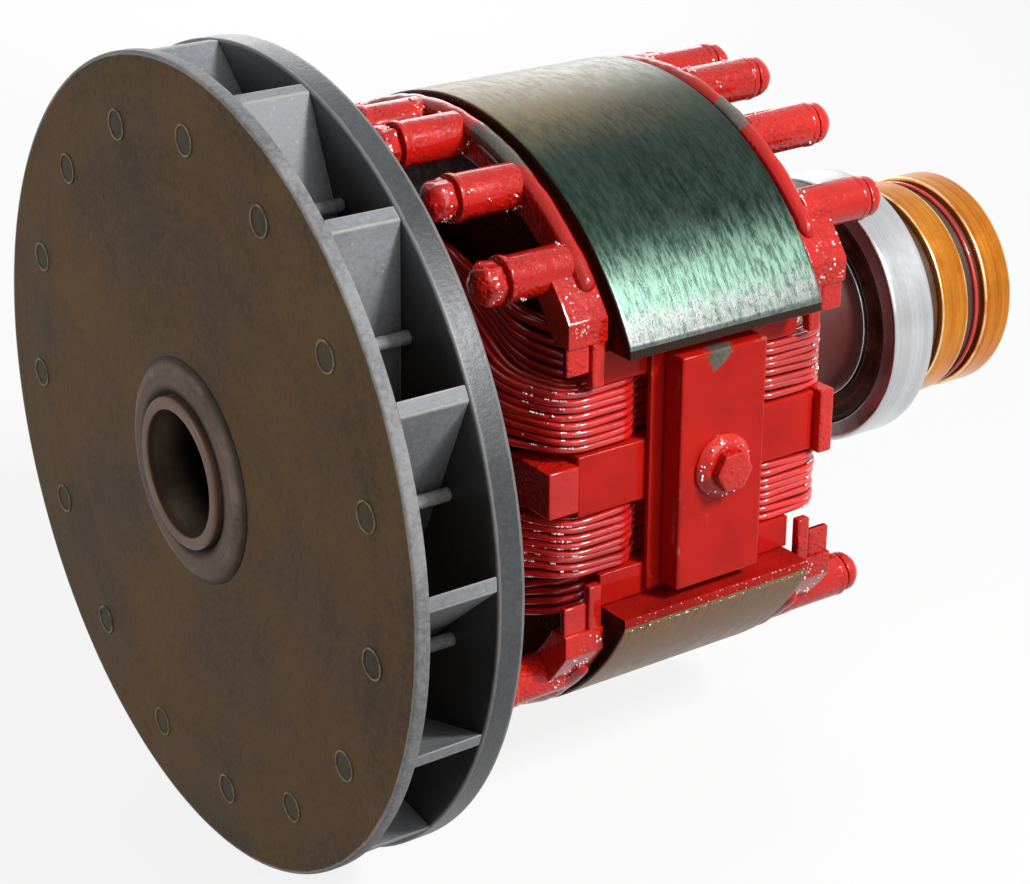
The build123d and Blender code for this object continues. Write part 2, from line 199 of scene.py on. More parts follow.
floor_size = 40
floor_height = cad_box[0][2] - 0.0006
floor_glow = 0.84
floor_corners = [(-1, -1), (1, -1), (1, 1), (-1, 1)]
floor_points = [(x * floor_size, y * floor_size, floor_height) for x, y in floor_corners]
floor_mesh = bpy.data.meshes.new("studio_floor")
floor_mesh.from_pydata(floor_points, [], [(0, 1, 2, 3)])
floor = add_object("studio_floor", floor_mesh)
floor_paint = Finish("pale_floor", Roughness=0.9)
floor_shown = shown_rays(floor_paint)
floor_paint.surface(Base_Color=floor_paint.mix(floor_shown, (0.24, 0.22, 0.20), (0.86, 0.86, 0.86)))
glow = floor_paint.add("ShaderNodeEmission", {"Color": (1, 1, 1, 1), "Strength": 1.0})
both = floor_paint.add("ShaderNodeMixShader", {
    0: floor_paint.times(floor_shown, floor_glow), 1: floor_paint.shader.outputs[0], 2: glow.outputs[0]})
floor_paint.put(floor_paint.tree.nodes["Material Output"].inputs[0], both.outputs[0])
floor_mesh.materials.append(floor_paint.material)
print("floor height:", round(floor_height, 4))

# %% [markdown]
# One smaller lamp from the upper right gives the crisp gleams on the wet looking varnish and the bright
# band along the pole. A wide lamp in front fills what the first one shades, one on the left lifts the fan's
# dark face, and one behind keeps the far side readable.

# %% Lamps
rotor_middle = Vector((0.19, 0, 0))


def lamp(name, toward, distance, size, watts):
    """A square soft lamp that looks at the middle of the rotor."""
    data = bpy.data.lights.new(name, "AREA")
    data.size = size
    data.energy = watts
    place = rotor_middle + Vector(toward).normalized() * distance
    add_object(name, data, place, rotor_middle - place)


lamp("key_lamp", (0.30, -0.70, 0.65), 1.5, 0.26, 21)
lamp("front_lamp", (0.05, -0.88, 0.46), 1.6, 0.8, 8)
lamp("left_lamp", (-0.95, 0.10, 0.28), 1.6, 1.0, 12)
lamp("back_lamp", (0.42, 0.85, 0.36), 1.6, 1.0, 9)

# %% [markdown]
# Most of the rotor is turned on a lathe, so most of its meshes are a profile swept round an axis. Blender's
# Screw modifier could do that, but sweeping in code also lets each corner be rounded and marked: the points
# of a rounded corner carry an "edge" value of 1, and the finishes read it later to rub the paint off edges.

# %% Turned shapes
import numpy as np
from mathutils import noise as field

MM = 0.001


def along(node):
    """Where a node starts and ends along the shaft, in millimetres."""
    low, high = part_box(node)
    return low.x / MM, high.x / MM


def radii(node):
    """Smallest and largest radius of a round node about the shaft, in millimetres."""
    points = np.array([vertex.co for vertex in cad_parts[node].data.vertices])
    radius = np.hypot(points[:, 1], points[:, 2])
    return float(radius.min()) / MM, float(radius.max()) / MM


def round_corners(corners, steps=4, support=1.6):
    """A fine closed outline from (along, radius, rounding) corners, each point with its edge value."""
    outline = []
    for index, (a, r, rounding) in enumerate(corners):
        here = Vector((a, r))
        before = Vector(corners[index - 1][:2]) - here
        after = Vector(corners[(index + 1) % len(corners)][:2]) - here
        if not rounding:
            outline.append((a, r, 0.0))
            continue
        reach = min(rounding, 0.42 * before.length, 0.42 * after.length)
        first = here + before.normalized() * reach
        last = here + after.normalized() * reach
        if before.length > 2 * (reach + support):
            outline.append((*(first + before.normalized() * support), 0.0))
        for step in range(steps + 1):
            t = step / steps
            point = first * (1 - t) ** 2 + here * (2 * t * (1 - t)) + last * t**2
            outline.append((point.x, point.y, 1.0))
        if after.length > 2 * (reach + support):
            outline.append((*(last + after.normalized() * support), 0.0))
    return outline


def skin(rings, count, closed=True):
    """Four-sided faces between each ring of points and the next."""
    faces = []
    for ring in range(rings if closed else rings - 1):
        here = ring * count
        onward = (ring + 1) % rings * count
        for index in range(count):
            after = (index + 1) % count
            faces.append((here + index, here + after, onward + after, onward + index))
    return faces


def on_shaft(a, u, v):
    return a, -u, v


def turned(corners, place=on_shaft, segments=192, lumps=0.0, lump_size=7.0):
    """Points, edge values and faces of a turned shape. Lumps stand for thick, uneven varnish."""
    outline = round_corners(corners)
    points, edges = [], []
    for step in range(segments):
        angle = 2 * math.pi * step / segments
        for a, r, edge in outline:
            if lumps and r > 0:
                spot = Vector(place(a, r * math.cos(angle), r * math.sin(angle)))
                r += lumps * field.noise(spot / lump_size)
            points.append(Vector(place(a, r * math.cos(angle), r * math.sin(angle))) * MM)
            edges.append(edge)
    return points, edges, skin(segments, len(outline))


def hoop(span, radius, bore_rounding, front_rounding, rear_rounding):
    """The corners of a ring with a square section, from its span along the shaft and its two radii."""
    (start, end), (inner, outer) = span, radius
    return [(start, inner, bore_rounding), (start, outer, front_rounding), (end, outer, rear_rounding),
            (end, inner, bore_rounding)]


print("fan radius in mm:", round(radii("fan_disc")[1], 2))

# %% [markdown]
# The other half of the rotor is flat: plates, blocks and arches sawn from sheet. Their edges are rounded
# with a real bevel, because a razor edge never catches light. A narrow band is then set in beside each
# bevel, so that the edge value fades over a millimetre or two and doesn't smear over the whole face.

# %% Flat shapes
import bmesh


def softened(work, rounding, band):
    """Rounds the sharp edges of a flat-sided shape and gives back its points, edge values and faces."""
    bmesh.ops.recalc_face_normals(work, faces=work.faces)
    sharp = [edge for edge in work.edges if edge.calc_face_angle(0) > math.radians(28)]
    made = bmesh.ops.bevel(work, geom=sharp, offset=rounding, segments=3, profile=0.5, affect="EDGES",
                           clamp_overlap=True)
    rounded = set(made["faces"])
    flat = [face for face in work.faces if face not in rounded]
    bmesh.ops.inset_region(work, faces=flat, thickness=band, use_even_offset=True, use_boundary=True)
    inner = {vertex for face in flat for vertex in face.verts}
    bmesh.ops.triangulate(work, faces=[face for face in work.faces if len(face.verts) > 4])
    work.verts.index_update()
    points = [vertex.co * MM for vertex in work.verts]
    edges = [0.0 if vertex in inner else 1.0 for vertex in work.verts]
    faces = [[vertex.index for vertex in face.verts] for face in work.faces]
    work.free()
    return points, edges, faces


def raised(ring, move, rounding, band):
    """A flat ring of points raised into a solid, with its edges rounded."""
    work = bmesh.new()
    cap = work.faces.new([work.verts.new(point) for point in ring])
    grown = bmesh.ops.extrude_face_region(work, geom=[cap], use_keep_orig=True)["geom"]
    top = [item for item in grown if isinstance(item, bmesh.types.BMVert)]
    bmesh.ops.translate(work, verts=top, vec=move)
    return softened(work, rounding, band)


def plate(outline, start, end, rounding=0.6, band=1.2):
    """An outline of (y, z) points run along the shaft from start to end."""
    return raised([(start, y, z) for y, z in outline], (end - start, 0, 0), rounding, band)


def block(low, high, rounding=0.6, band=1.2):
    """A box between two corners in millimetres."""
    work = bmesh.new()
    bmesh.ops.create_cube(work, size=1)
    for vertex in work.verts:
        vertex.co = [low[i] if vertex.co[i] < 0 else high[i] for i in range(3)]
    return softened(work, rounding, band)


print("flat shapes ready")

# %% [markdown]
# Every piece goes the same last way: its shapes become one mesh, the mesh gets its edge values and its
# finish, the piece is set on the body that carries it, and the CAD nodes it stands for are hidden.

# %% Pieces
def make_piece(name, shapes, material, nodes, body="rotor", crease=38):
    """One object from several shapes, finished, riding on its body and standing for its CAD nodes."""
    points, edges, faces = [], [], []
    for shape_points, shape_edges, shape_faces in shapes:
        offset = len(points)
        points.extend(shape_points)
        edges.extend(shape_edges)
        faces.extend([index + offset for index in face] for face in shape_faces)
    mesh = bpy.data.meshes.new(name)
    mesh.from_pydata(points, [], faces)
    mesh.attributes.new("edge", "FLOAT", "POINT").data.foreach_set("value", edges)
    work = bmesh.new()
    work.from_mesh(mesh)
    bmesh.ops.remove_doubles(work, verts=work.verts, dist=1e-7)
    bmesh.ops.recalc_face_normals(work, faces=work.faces)
    work.to_mesh(mesh)
    work.free()
    mesh.shade_smooth()
    mesh.set_sharp_from_angle(angle=math.radians(crease))
    mesh.materials.append(material)
    piece = add_object(name, mesh)
    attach(piece, body)
    if nodes:
        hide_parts(*nodes)
    print(name, "faces:", len(mesh.polygons))


print("piece helper ready")

# %% [markdown]
# Six effects come back in several finishes, so each is a node group that is built once and then given its
# own values in every material. They read the place on the object in metres, which rides with the piece when
# the shaft turns. The first group turns that place into workshop terms: how far along the shaft, how far
# out and how far round.

# %% Group: place on the shaft
class Group(Wiring):
    """A new node group. Its inputs are numbers, found in taken, and give wires its outputs."""

    def __init__(self, name, inputs, numbers, vectors=()):
        super().__init__(bpy.data.node_groups.new(name, "ShaderNodeTree"))
        for label, value in inputs.items():
            socket = self.tree.interface.new_socket(name=label, in_out="INPUT", socket_type="NodeSocketFloat")
            socket.default_value = value
        for labels, kind in ((numbers, "NodeSocketFloat"), (vectors, "NodeSocketVector")):
            for label in labels:
                self.tree.interface.new_socket(name=label, in_out="OUTPUT", socket_type=kind)
        self.taken = self.tree.nodes.new("NodeGroupInput").outputs
        self.given = self.tree.nodes.new("NodeGroupOutput").inputs

    def give(self, **outputs):
        for label, socket in outputs.items():
            self.put(self.given[label], socket)
        print("group:", self.tree.name)


shaft_place = Group("Place on the shaft", {}, ("Along", "Radius", "Turn"), ("Spot",))
spot = shaft_place.add("ShaderNodeTexCoord").outputs["Object"]
x, y, z = shaft_place.add("ShaderNodeSeparateXYZ", {0: spot}).outputs
across = shaft_place.add("ShaderNodeCombineXYZ", {1: y, 2: z}).outputs[0]
radius = shaft_place.add("ShaderNodeVectorMath", {0: across}, operation="LENGTH").outputs["Value"]
shaft_place.give(Along=x, Radius=radius, Turn=shaft_place.maths("ARCTAN2", z, y), Spot=spot)

# %% [markdown]
# A lathe tool leaves fine rings round the axis. Noise that is squeezed hard along the shaft and along the
# radius, and hardly at all round the turn, gives streaks that follow the tool on a rim as well as on a flat
# face.

# %% Group: turning marks
turning_marks = Group("Turning marks", {"Fineness": 900.0, "Sweep": 3.0}, ("Height", "Tone"))
place = turning_marks.use(shaft_place)
fineness = turning_marks.taken["Fineness"]
turn = turning_marks.maths("ABSOLUTE", place["Turn"])
squeezed = turning_marks.add("ShaderNodeCombineXYZ", {
    0: turning_marks.times(place["Along"], fineness), 1: turning_marks.times(place["Radius"], fineness),
    2: turning_marks.times(turn, turning_marks.taken["Sweep"])}).outputs[0]
fine_marks = turning_marks.noise(squeezed, 1.0, 3.0, 0.65)
broad_marks = turning_marks.noise(squeezed, 0.22, 3.0, 0.5)
all_marks = turning_marks.maths("ADD", fine_marks, broad_marks)
turning_marks.give(Height=fine_marks, Tone=turning_marks.remap(all_marks, 0.72, 1.28))

# %% [markdown]
# Paint and metal are never one even colour. Mottle mixes a broad cloud with a fine grain, and the finish
# decides what the two ends of its tone mean, such as clean and dusty, or thin and thick.

# %% Group: mottle
mottle = Group("Mottle", {"Broad": 14.0, "Fine": 220.0, "Grain": 0.4, "Contrast": 1.0}, ("Tone", "Grain"))
spot = mottle.use(shaft_place)["Spot"]
broad_cloud = mottle.noise(spot, mottle.taken["Broad"], 5.0, 0.6)
fine_grain = mottle.noise(spot, mottle.taken["Fine"], 4.0, 0.7)
grain_part = mottle.times(mottle.maths("SUBTRACT", fine_grain, 0.5), mottle.taken["Grain"])
cloud_part = mottle.times(mottle.maths("SUBTRACT", broad_cloud, 0.5), mottle.taken["Contrast"])
tone = mottle.maths("ADD", mottle.maths("ADD", grain_part, cloud_part), 0.5)
mottle.give(Tone=mottle.remap(tone, 0.15, 0.85), Grain=fine_grain)

# %% [markdown]
# Handling wears paint away where corners stick out. The meshes carry that as their edge value, and noise
# breaks it up so that the worn line comes and goes along the edge.

# %% Group: edge rub
edge_rub = Group("Edge rub", {"Amount": 0.6, "Patches": 90.0}, ("Mask",))
spot = edge_rub.use(shaft_place)["Spot"]
edge_value = edge_rub.add("ShaderNodeAttribute", attribute_name="edge").outputs["Fac"]
patches = edge_rub.noise(spot, edge_rub.taken["Patches"], 5.0, 0.65)
level = edge_rub.times(edge_value, edge_rub.maths("ADD", patches, edge_rub.taken["Amount"]))
edge_rub.give(Mask=edge_rub.remap(level, 0.72, 1.05))

# %% [markdown]
# Insulating varnish is poured and brushed on in thick coats. It sags into soft waves, gathers fine bubbles
# in some places and not in others, and looks deeper where it has pooled. One height carries waves and
# bubbles for the bump, and one tone tells thin varnish from pools.

# %% Group: varnish film
varnish_film = Group(
    "Varnish film", {"Waves": 95.0, "Bubbles": 520.0, "Bubble share": 0.5}, ("Height", "Pool"))
spot = varnish_film.use(shaft_place)["Spot"]
waves = varnish_film.noise(spot, varnish_film.taken["Waves"], 3.0, 0.5)
cells = varnish_film.add("ShaderNodeTexVoronoi", {
    "Vector": spot, "Scale": varnish_film.taken["Bubbles"], "Smoothness": 0.3}, feature="SMOOTH_F1")
bubbly = varnish_film.remap(varnish_film.noise(spot, 42.0, 3.0), 0.38, 0.6)
bubbles = varnish_film.times(varnish_film.remap(cells.outputs["Distance"], 0.15, 0.6, 1.0, 0.0), bubbly)
bubbles = varnish_film.times(bubbles, varnish_film.taken["Bubble share"])
pools = varnish_film.remap(varnish_film.noise(spot, 26.0, 5.0), 0.3, 0.7)
varnish_film.give(Height=varnish_film.maths("ADD", waves, bubbles), Pool=pools)

# %% [markdown]
# Cast and painted sheet shows tiny light and dark specks. Each Voronoi cell is one possible speck, and only
# the cells whose own random number is low enough get one.

# %% Group: specks
specks = Group("Specks", {"Density": 450.0, "Share": 0.12}, ("Mask",))
spot = specks.use(shaft_place)["Spot"]
cells = specks.add("ShaderNodeTexVoronoi", {"Vector": spot, "Scale": specks.taken["Density"]}).outputs
pick = specks.add("ShaderNodeSeparateColor", {0: cells["Color"]}).outputs[0]
dot = specks.remap(cells["Distance"], 0.12, 0.34, 1.0, 0.0)
specks.give(Mask=specks.times(dot, specks.maths("LESS_THAN", pick, specks.taken["Share"])))

# %% [markdown]
# The fan's front plate is sheet steel under old brown paint: almost even, a little rusty in clouds, with
# faint scuffs that sweep round the shaft. Its dark brown is partly painted shade and a painted warm
# reflection.
# Its rim and the rivets' shanks behind it are bare grey steel. A plain brown would look like plastic, so
# the clouds, the sweep and the rub all go into the colour, and the grain into the bump. The groove round
# the shaft and the foot of the weld are darkened with painted shade, and the radius tells where those are.

# %% Finish: brown fan plate
bare_rim_radii = (0.1578, 0.1583)
shank_middle = 0.0246
shank_half_length = 0.0132
# Colour and radii of the painted shade in the hub's groove round the shaft and at the foot of its weld.
groove_shade_colour = (0.020, 0.014, 0.011)
groove_shade_radii = (0.0350, 0.0322)
weld_foot_shade_radii = (0.0412, 0.0438)


def brown_finish(name, dark, light, worn, rim, patches=60.0, shade_rings=()):
    """Old brown paint between two tones, edges worn to the rim colour, rings of painted shade at shade_rings
    radii.
    """
    paint = Finish(name, Specular_IOR_Level=0.06)
    clouds = paint.use(mottle, broad=16.0, fine=420.0, grain=1.3, contrast=1.6)
    sweeps = paint.use(turning_marks, fineness=160.0, sweep=2.5)
    rub = paint.use(edge_rub, amount=worn, patches=patches)
    dots = paint.use(specks, density=330.0, share=0.10)
    place = paint.use(shaft_place)
    colour = paint.mix(clouds["Tone"], dark, light)
    colour = paint.mix(paint.times(sweeps["Tone"], 0.35), colour, light)
    colour = paint.mix(paint.times(dots["Mask"], 0.35), colour, dark, "MULTIPLY")
    colour = paint.mix(rub["Mask"], colour, rim)
    # Rings of painted shade, darker towards the shaded radius of each pair.
    for unshaded_radius, shaded_radius in shade_rings:
        colour = paint.mix(paint.remap(place["Radius"], unshaded_radius, shaded_radius, 0.0, 0.8), colour, groove_shade_colour)
    steel = paint.mix(clouds["Tone"], (0.15, 0.152, 0.16), (0.30, 0.30, 0.305))
    from_shank = paint.maths("ABSOLUTE", paint.maths("SUBTRACT", place["Along"], shank_middle))
    shank = paint.maths("LESS_THAN", from_shank, shank_half_length)
    bare = paint.maths("MAXIMUM", paint.remap(place["Radius"], *bare_rim_radii), shank)
    paint.surface(Base_Color=paint.mix(bare, colour, steel),
                  Roughness=paint.remap(clouds["Tone"], 0, 1, 0.46, 0.62))
    paint.bump(clouds["Grain"], 0.00018)
    print("finish:", name)
    return paint.material


# Dark brown plate paint, partly painted shade and a painted warm reflection.
plate_paint_partly_shade = brown_finish(
    "brown_plate_paint", (0.040, 0.024, 0.012), (0.116, 0.069, 0.034), 0.5, (0.26, 0.24, 0.22))
# Hub paint with painted shade in its groove and at the foot of its weld.
hub_paint = brown_finish(
    "brown_hub_paint", (0.085, 0.061, 0.048), (0.150, 0.112, 0.090), 0.3, (0.22, 0.17, 0.14), 80.0,
    [groove_shade_radii, weld_foot_shade_radii])
# Rivet paint: darker as painted shade, its pale rubbed lip partly wear and partly a painted highlight.
rivet_paint_worn_and_painted_light = brown_finish(
    "worn_rivet_paint", (0.030, 0.024, 0.016), (0.075, 0.062, 0.042), 0.45, (0.30, 0.22, 0.13), 240.0)

# %% [markdown]
# The blades are grey paint on rough sheet, bluish where light falls and finely speckled. Painted shade
# darkens the inner half towards the hub, deep between the plates, and the radius sets where. The rear
# ring is darker and smoother, and shines in a broad soft band.

# %% Finish: grey fan wheel
# Radii and colour of the painted shade towards the hub, between the fan's plates.
fan_inner_shade_radii = (0.112, 0.152)
fan_inner_shade_colour = (0.04, 0.036, 0.032)


def wheel_finish(name, dark, light, speck, worn, rough):
    """Speckled grey paint between two tones, with painted shade near the hub and rubbed edges."""
    paint = Finish(name, Specular_IOR_Level=0.5)
    clouds = paint.use(mottle, broad=30.0, fine=520.0, grain=0.8, contrast=0.9)
    rub = paint.use(edge_rub, amount=0.6, patches=120.0)
    dots = paint.use(specks, density=520.0, share=0.16)
    # Painted shade towards the hub.
    fan_inner_shade = paint.remap(paint.use(shaft_place)["Radius"], *fan_inner_shade_radii, 0.75, 0.0)
    colour = paint.mix(clouds["Tone"], dark, light)
    colour = paint.mix(paint.times(dots["Mask"], 0.5), colour, speck)
    colour = paint.mix(fan_inner_shade, colour, fan_inner_shade_colour)
    colour = paint.mix(rub["Mask"], colour, worn)
    paint.surface(Base_Color=colour, Roughness=paint.remap(clouds["Tone"], 0, 1, *rough))
    paint.bump(clouds["Grain"], 0.00018)
    print("finish:", name)
    return paint.material


blade_paint = wheel_finish(
    "grey_blade_paint", (0.14, 0.148, 0.16), (0.26, 0.272, 0.29), (0.40, 0.41, 0.43), (0.30, 0.30, 0.30),
    (0.45, 0.6))
ring_paint = wheel_finish(
    "grey_ring_paint", (0.021, 0.023, 0.026), (0.054, 0.058, 0.063), (0.10, 0.10, 0.10), (0.14, 0.14, 0.14),
    (0.36, 0.46))

# %% [markdown]
# The red is a thick gloss varnish. Its body is a deep red that goes almost brown in pools, under a clear
# coat that gives sharp gleams. Waves and bubbles in the bump break those gleams up, and worn edges show
# pale iron. On two pieces knocks have chipped the varnish through to olive primer, so the finish takes a
# list of chipped places.

# %% Finish: red varnish
bright_red = (0.53, 0.011, 0.006)
deep_red = (0.38, 0.007, 0.004)
dusty_red = (0.55, 0.06, 0.045)
rubbed_iron = (0.36, 0.24, 0.19)
dark_primer = (0.055, 0.050, 0.036)
pale_primer = (0.16, 0.145, 0.115)


def red_finish(name, wave, bubble_share, worn, deep=deep_red, bright=bright_red, coat=0.2, gloss=0.05,
               chips=()):
    """Gloss varnish with its own waves, bubbles, wear and chips (each a point and a reach in metres)."""
    paint = Finish(name, Coat_Weight=coat, Coat_Roughness=0.09, Specular_IOR_Level=gloss)
    film = paint.use(varnish_film, waves=wave, bubble_share=bubble_share)
    rub = paint.use(edge_rub, amount=worn, patches=110.0)
    grain = paint.use(mottle, broad=60.0, fine=700.0, grain=0.6, contrast=0.7)
    colour = paint.mix(film["Pool"], bright, deep)
    colour = paint.mix(paint.remap(grain["Tone"], 0.75, 1.0, 0.0, 0.35), colour, dusty_red)
    colour = paint.mix(rub["Mask"], colour, rubbed_iron)
    spot = paint.use(shaft_place)["Spot"]
    ragged = paint.noise(spot, 160.0, 5.0, 0.65)
    primer = paint.mix(grain["Tone"], dark_primer, pale_primer)
    for middle, reach in chips:
        away = paint.add("ShaderNodeVectorMath", {0: spot, 1: middle}, operation="DISTANCE")
        left = paint.maths("SUBTRACT", ragged, paint.maths("DIVIDE", away.outputs["Value"], reach * 2.2))
        colour = paint.mix(paint.remap(left, 0.10, 0.20), colour, primer)
    paint.surface(Base_Color=colour, Roughness=paint.remap(grain["Tone"], 0, 1, 0.28, 0.42))
    paint.bump(film["Height"], 0.0008)
    print("finish:", name)
    return paint.material


cover_chips = [((0.1715, -0.111, 0.0478), 0.008)]
bar_chips = [((0.1200, -0.041, 0.1170), 0.021), ((0.2275, -0.048, 0.1131), 0.012)]
plate_red = red_finish("red_plate_varnish", 60.0, 0.03, 0.12)
cover_red = red_finish("red_cover_varnish", 60.0, 0.03, 0.2, chips=cover_chips)
lumpy_red = red_finish(
    "red_lumpy_varnish", 230.0, 0.6, 0.05, (0.44, 0.008, 0.004), (0.62, 0.013, 0.007), 0.6, 0.08)
bar_red = red_finish("red_bar_varnish", 90.0, 0.15, 0.05, coat=0.5, gloss=0.1, chips=bar_chips)
wire_red = red_finish(
    "red_wire_varnish", 90.0, 0.08, 0.0, (0.42, 0.007, 0.006), (0.66, 0.013, 0.010), 1.0, 0.3)
# Nearly black red for the coil body: painted shade in the gaps between the wires.
shadow_red = red_finish("red_core_painted_shade", 120.0, 0.4, 0.0, (0.03, 0.003, 0.002), (0.07, 0.004, 0.003))

# %% [markdown]
# The poles are stacks of iron sheets. Their round faces are turned to size and show streaks that follow
# the tool; their dark green metal tone is a painted reflection of dark surroundings. Towards the pole tip a
# painted highlight makes the metal brighter, then comes a grey mottle with fine pits, and the height of a
# point tells how far down the face it lies.

# %% Pole iron: turned faces
# Heights of the painted highlight band, the grey mottle and the pits on the upper face.
highlight_band_heights = (0.094, 0.074)
grey_mottle_heights = (0.072, 0.062)
pit_heights = (0.082, 0.066)

iron = Finish("turned_pole_iron", Specular_IOR_Level=0.1)
place = iron.use(shaft_place)
height = iron.add("ShaderNodeSeparateXYZ", {0: place["Spot"]}).outputs[2]
streaks = iron.use(turning_marks, fineness=2200.0, sweep=50.0)
long_streaks = iron.use(turning_marks, fineness=700.0, sweep=16.0)
clouds = iron.use(mottle, broad=13.0, fine=300.0, grain=0.3, contrast=1.3)
pits = iron.use(specks, density=760.0, share=0.45)
# Painted highlight: the bright band where the lamp's reflection falls on the upper face.
painted_highlight_band = iron.times(iron.remap(height, *highlight_band_heights), iron.remap(streaks["Tone"], 0, 1, 0.25, 1))
# A grey mottle just below the band.
grey_mottle = iron.times(iron.remap(height, *grey_mottle_heights), iron.remap(clouds["Grain"], 0.4, 0.6, 0.35, 1))
pitted = iron.times(pits["Mask"], iron.remap(height, *pit_heights, 0.0, 0.75))
# Dark green metal tones, a painted reflection of dark surroundings.
metal = iron.mix(clouds["Tone"], (0.004, 0.012, 0.009), (0.018, 0.036, 0.028))
metal = iron.mix(iron.times(long_streaks["Tone"], 0.38), metal, (0.032, 0.058, 0.045))
metal = iron.mix(iron.times(streaks["Tone"], 0.4), metal, (0.055, 0.082, 0.067))
metal = iron.mix(painted_highlight_band, metal, (0.12, 0.195, 0.155))
metal = iron.mix(grey_mottle, metal, (0.20, 0.205, 0.20))
metal = iron.mix(pitted, metal, (0.020, 0.030, 0.026))
print("pole face tones mixed")

# %% [markdown]
# The top of the upper face is tan, a painted reflection strongest beside the fan, and the lower face is
# rust-brown all over, a painted reflection of the ground. Both are laid in as dull films on the metal, so
# they also take away some of its shine later.

# %% Pole iron: painted tan and rust-brown reflections
# Heights and reach of the painted tan reflection on top, and heights of the painted reflection below.
top_reflection_heights = (0.112, 0.127)
top_reflection_along = (0.225, 0.135)
lower_reflection_heights = (-0.05, -0.06)

painted_reflection_share = iron.times(iron.remap(height, *top_reflection_heights), iron.remap(place["Along"], *top_reflection_along, 0.2, 1))
lower_face_reflection = iron.remap(height, *lower_reflection_heights)
painted_reflection_share = iron.maths("ADD", painted_reflection_share, lower_face_reflection)
# Painted reflections: tan on top, rust-brown from the ground on the lower face.
tan = iron.mix(streaks["Tone"], (0.10, 0.072, 0.032), (0.24, 0.170, 0.075))
reflected_ground_brown = iron.mix(streaks["Tone"], (0.15, 0.066, 0.016), (0.32, 0.150, 0.040))
tan = iron.mix(lower_face_reflection, tan, reflected_ground_brown)
metal = iron.mix(iron.times(painted_reflection_share, 0.85), metal, tan)
print("tan and rust laid over the pole faces")

# %% [markdown]
# The rest of the stack is varnished: bright on its sides, with painted shade that makes its ends nearly black
# and darkens the sides of the upper pole's tips. The radius alone tells turned metal from varnish, so one
# material holds both, mixed by a mask. The edges of the iron sheets show under the varnish as faint lines.

# %% Pole iron: varnished sides
end_shade_radii = (0.1195, 0.1235)
tip_radii = (0.1236, 0.1242)
turned_depth = 0.0007
sheet_line_scale = 480.0

film = iron.use(varnish_film, waves=80.0, bubble_share=0.3)
facing = iron.add("ShaderNodeTexCoord").outputs["Normal"]
endways = iron.maths("ABSOLUTE", iron.add("ShaderNodeSeparateXYZ", {0: facing}).outputs[0])
# Painted shade: the stack's ends go nearly black, blackest near the rim.
shaded_ends = iron.mix(film["Pool"], (0.13, 0.012, 0.008), (0.05, 0.008, 0.006))
shaded_ends = iron.mix(iron.remap(place["Radius"], *end_shade_radii), shaded_ends, (0.010, 0.007, 0.006))
sides = iron.mix(film["Pool"], (0.50, 0.012, 0.007), (0.30, 0.008, 0.005))
sides = iron.mix(iron.remap(endways, 0.4, 0.6), sides, shaded_ends)
# Painted shade along the side faces of the upper pole's tips.
upper_tip_shade = iron.times(iron.remap(place["Radius"], *tip_radii), iron.remap(height, 0.0, 0.02))
sides = iron.mix(upper_tip_shade, sides, (0.030, 0.016, 0.010))
machined = iron.maths("GREATER_THAN", place["Radius"], radii("pole_core")[1] * MM - turned_depth)
bare = iron.times(machined, iron.maths("SUBTRACT", 0.92, iron.times(painted_reflection_share, 0.75)))
iron.surface(Base_Color=iron.mix(machined, sides, metal), Metallic=bare,
             Roughness=iron.remap(streaks["Tone"], 0, 1, 0.28, 0.44))
sheet_lines = iron.add("ShaderNodeTexWave", {
    "Vector": place["Spot"], "Scale": sheet_line_scale, "Distortion": 0.0}, bands_direction="X")
varnish_relief = iron.maths("ADD", film["Height"], iron.times(sheet_lines.outputs["Fac"], 0.3))
relief = iron.add("ShaderNodeMix", {0: machined, 2: varnish_relief, 3: iron.times(streaks["Height"], 0.12)})
iron.bump(relief.outputs[0], 0.0005)
print("finish:", iron.material.name)

# %% [markdown]
# Three metals remain: the shaft's oily turned steel, rusty at its open lip; the bearing's ground steel, the
# brightest thing on the rotor; and the brass of the slip rings, polished by brushes into fine rings,
# tarnished orange in between. Streaked turning marks carry all of them, with their own fineness and
# colours.

# %% Finish: turned metals
def metal_finish(name, dark, light, fineness, rough, relief):
    """Turned metal and its colour: tone, roughness and bump follow the tool marks, under a slight cloud."""
    finish = Finish(name, Metallic=1.0)
    streaks = finish.use(turning_marks, fineness=fineness, sweep=1.2)
    clouds = finish.use(mottle, broad=28.0, fine=380.0, grain=0.3, contrast=1.2)
    tone = finish.maths("ADD", finish.times(streaks["Tone"], 0.55), finish.times(clouds["Tone"], 0.45))
    finish.surface(Roughness=finish.remap(clouds["Tone"], 0, 1, *rough))
    finish.bump(streaks["Height"], relief)
    print("finish:", name)
    return finish, finish.mix(tone, dark, light)


steel, colour = metal_finish(
    "ground_bearing_steel", (0.44, 0.45, 0.46), (0.66, 0.67, 0.68), 1400.0, (0.16, 0.28), 0.00002)
steel.surface(Base_Color=colour)
brass, colour = metal_finish(
    "polished_slip_brass", (0.47, 0.085, 0.003), (0.76, 0.31, 0.040), 700.0, (0.16, 0.30), 0.00003)
rub = brass.use(edge_rub, amount=0.5, patches=70.0)
brass.surface(Base_Color=brass.mix(rub["Mask"], colour, (0.86, 0.62, 0.30)))

# %% [markdown]
# The shaft changes along its length. Its lip is rusty, its bore is darkened inside with painted shade, and
# between the fan and the bearing its thick part has been varnished with the coils, in a dark red that is
# partly painted shade. All three are places along the shaft, two of them only inside or outside a certain
# radius. Where paint or rust covers the steel, the metal value goes down.

# %% Finish: shaft
lip_along = (0.006, 0.001)
bore_shade_along = (0.002, 0.022)
bore_edge = 0.0258
varnish_start = (0.055, 0.065)
varnish_stop = (0.3121, 0.3119)
varnish_edge = 0.0372

